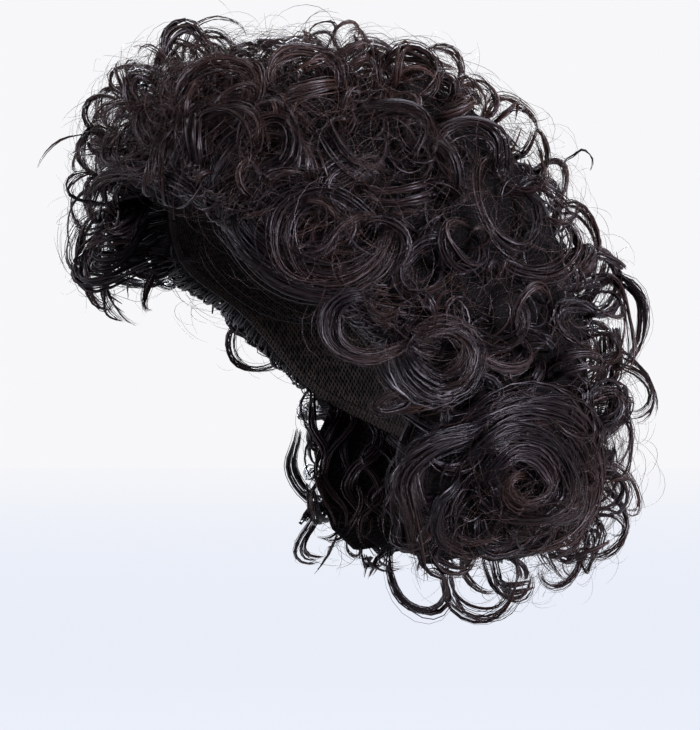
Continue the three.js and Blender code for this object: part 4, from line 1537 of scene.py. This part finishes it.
# %% [markdown]
# ## Floor
# A studio picture stands on a pale ground without a visible end. A curved sheet is the usual way,
# but it has a front and a back. A wide flat disc that glows a little and grows paler far away looks
# the same from every side.

# %% Floor
FLOOR_LEVEL = -0.45
FLOOR_RADIUS = 9.0
FLOOR_FADE = 2.2
FLOOR_CORNERS = 96
FLOOR_BASE = (0.004, 0.004, 0.004, 1)
FLOOR_NEAR = (0.815, 0.85, 0.94, 1)
FLOOR_FAR = (0.91, 0.915, 0.95, 1)


def pale_floor():
    finish = Finish("pale_floor", Base_Color=FLOOR_BASE, Specular_IOR_Level=0.0, Emission_Strength=1.0)
    away = finish.node("ShaderNodeVectorMath", {"operation": "LENGTH"}, {0: finish.place()}, "Value")
    fade = finish.smooth(away, FLOOR_FADE, FLOOR_RADIUS)
    finish.paint(Emission_Color=finish.mix(fade, FLOOR_NEAR, FLOOR_FAR))
    bpy.ops.mesh.primitive_circle_add(
        vertices=FLOOR_CORNERS, radius=FLOOR_RADIUS, fill_type="NGON", location=(0, 0, FLOOR_LEVEL)
    )
    floor = bpy.context.object
    floor.name = "floor"
    floor.data.materials.append(finish.material)
    return floor


FLOOR = pale_floor()
print("floor width in metres:", round(FLOOR.dimensions.x, 1))

# %% [markdown]
# ## Light
# Hair shows by its highlights, so soft white lamps stand round the wig as in a small studio: one
# high in front, one beside the front, one above, a strong one at the left toward the back, and one
# on the far side. Sun lamps would give hard glints. The world behind them is pale near the floor and
# dark above.

# %% Lamps
MIDDLE = np.array([0.0, 0.02, -0.10])
LAMP_COLOUR = (0.86, 0.91, 1.0)
LAMPS = [  # name, metres along the view, toward the camera and up, size, power
    ("key", -1.0, 1.1, 1.3, 0.8, 9),
    ("front", -1.6, 0.45, 0.3, 0.8, 42),
    ("top", 0.3, 0.0, 1.8, 1.1, 46),
    ("side", 1.4, 1.0, 0.1, 0.8, 132),
    ("far", -0.2, -1.3, 0.5, 1.0, 52),
]


def soft_lamp(name, along, near, up, size, power):
    toward = -in_view(along, up, near)
    bpy.ops.object.light_add(type="AREA", location=MIDDLE - toward)
    lamp = bpy.context.object
    lamp.name = name
    lamp.data.shape = "DISK"
    lamp.data.size = size
    lamp.data.energy = power
    lamp.data.color = LAMP_COLOUR
    pitch = math.atan2(math.hypot(toward[0], toward[1]), -toward[2])
    lamp.rotation_euler = (pitch, 0, math.atan2(toward[1], toward[0]) - math.pi / 2)
    return lamp


for row in LAMPS:
    print("lamp:", soft_lamp(*row).name)

# %% Surroundings
SKY_STOPS = [(0.13, (0.93, 0.93, 0.95, 1)), (0.36, (0.08, 0.085, 0.10, 1))]


def studio_world():
    world = bpy.data.worlds.new("studio")
    world.use_nodes = True
    recipe = Recipe(world.node_tree)
    direction = recipe.node("ShaderNodeTexCoord", {}, {}, "Generated")
    height = recipe.node("ShaderNodeSeparateXYZ", {}, {0: direction}, "Z")
    sky = recipe.node("ShaderNodeValToRGB", {"stops": SKY_STOPS}, {"Fac": height})
    recipe.feed(world.node_tree.nodes["Background"].inputs["Color"], sky)
    bpy.context.scene.world = world
    bpy.context.scene.view_settings.view_transform = "Standard"
    return world


WORLD = studio_world()
print("world nodes:", len(WORLD.node_tree.nodes))

# %% [markdown]
# ## Camera
# The camera stands level with the middle of the wig, on the left and a little to the front. Its lens
# follows from the distance and from how many millimetres one pixel of the picture shows, which is
# surer than moving the camera by eye.

# %% Camera
PICTURE_HEIGHT = 730
MM_PER_PIXEL = 0.55
AXIS_COLUMN = 309
CROWN_ROW = 137
CENTRE_COLUMN = 350
CENTRE_ROW = 365
DISTANCE = 1.9
SENSOR = 36.0


def studio_camera():
    aim = ALONG * (CENTRE_COLUMN - AXIS_COLUMN) * MM_PER_PIXEL * MM
    aim = aim + UP * (CROWN_ROW - CENTRE_ROW) * MM_PER_PIXEL * MM
    data = bpy.data.cameras.new("camera")
    data.sensor_width = SENSOR
    data.lens = SENSOR * DISTANCE / (PICTURE_HEIGHT * MM_PER_PIXEL * MM)
    camera = bpy.data.objects.new("camera", data)
    bpy.context.collection.objects.link(camera)
    camera.location = aim + VIEW * DISTANCE
    camera.rotation_euler = (math.radians(90), 0, math.radians(VIEW_TURN))
    bpy.context.scene.camera = camera
    return camera


CAMERA = studio_camera()
print("lens:", round(CAMERA.data.lens, 1))

# %% [markdown]
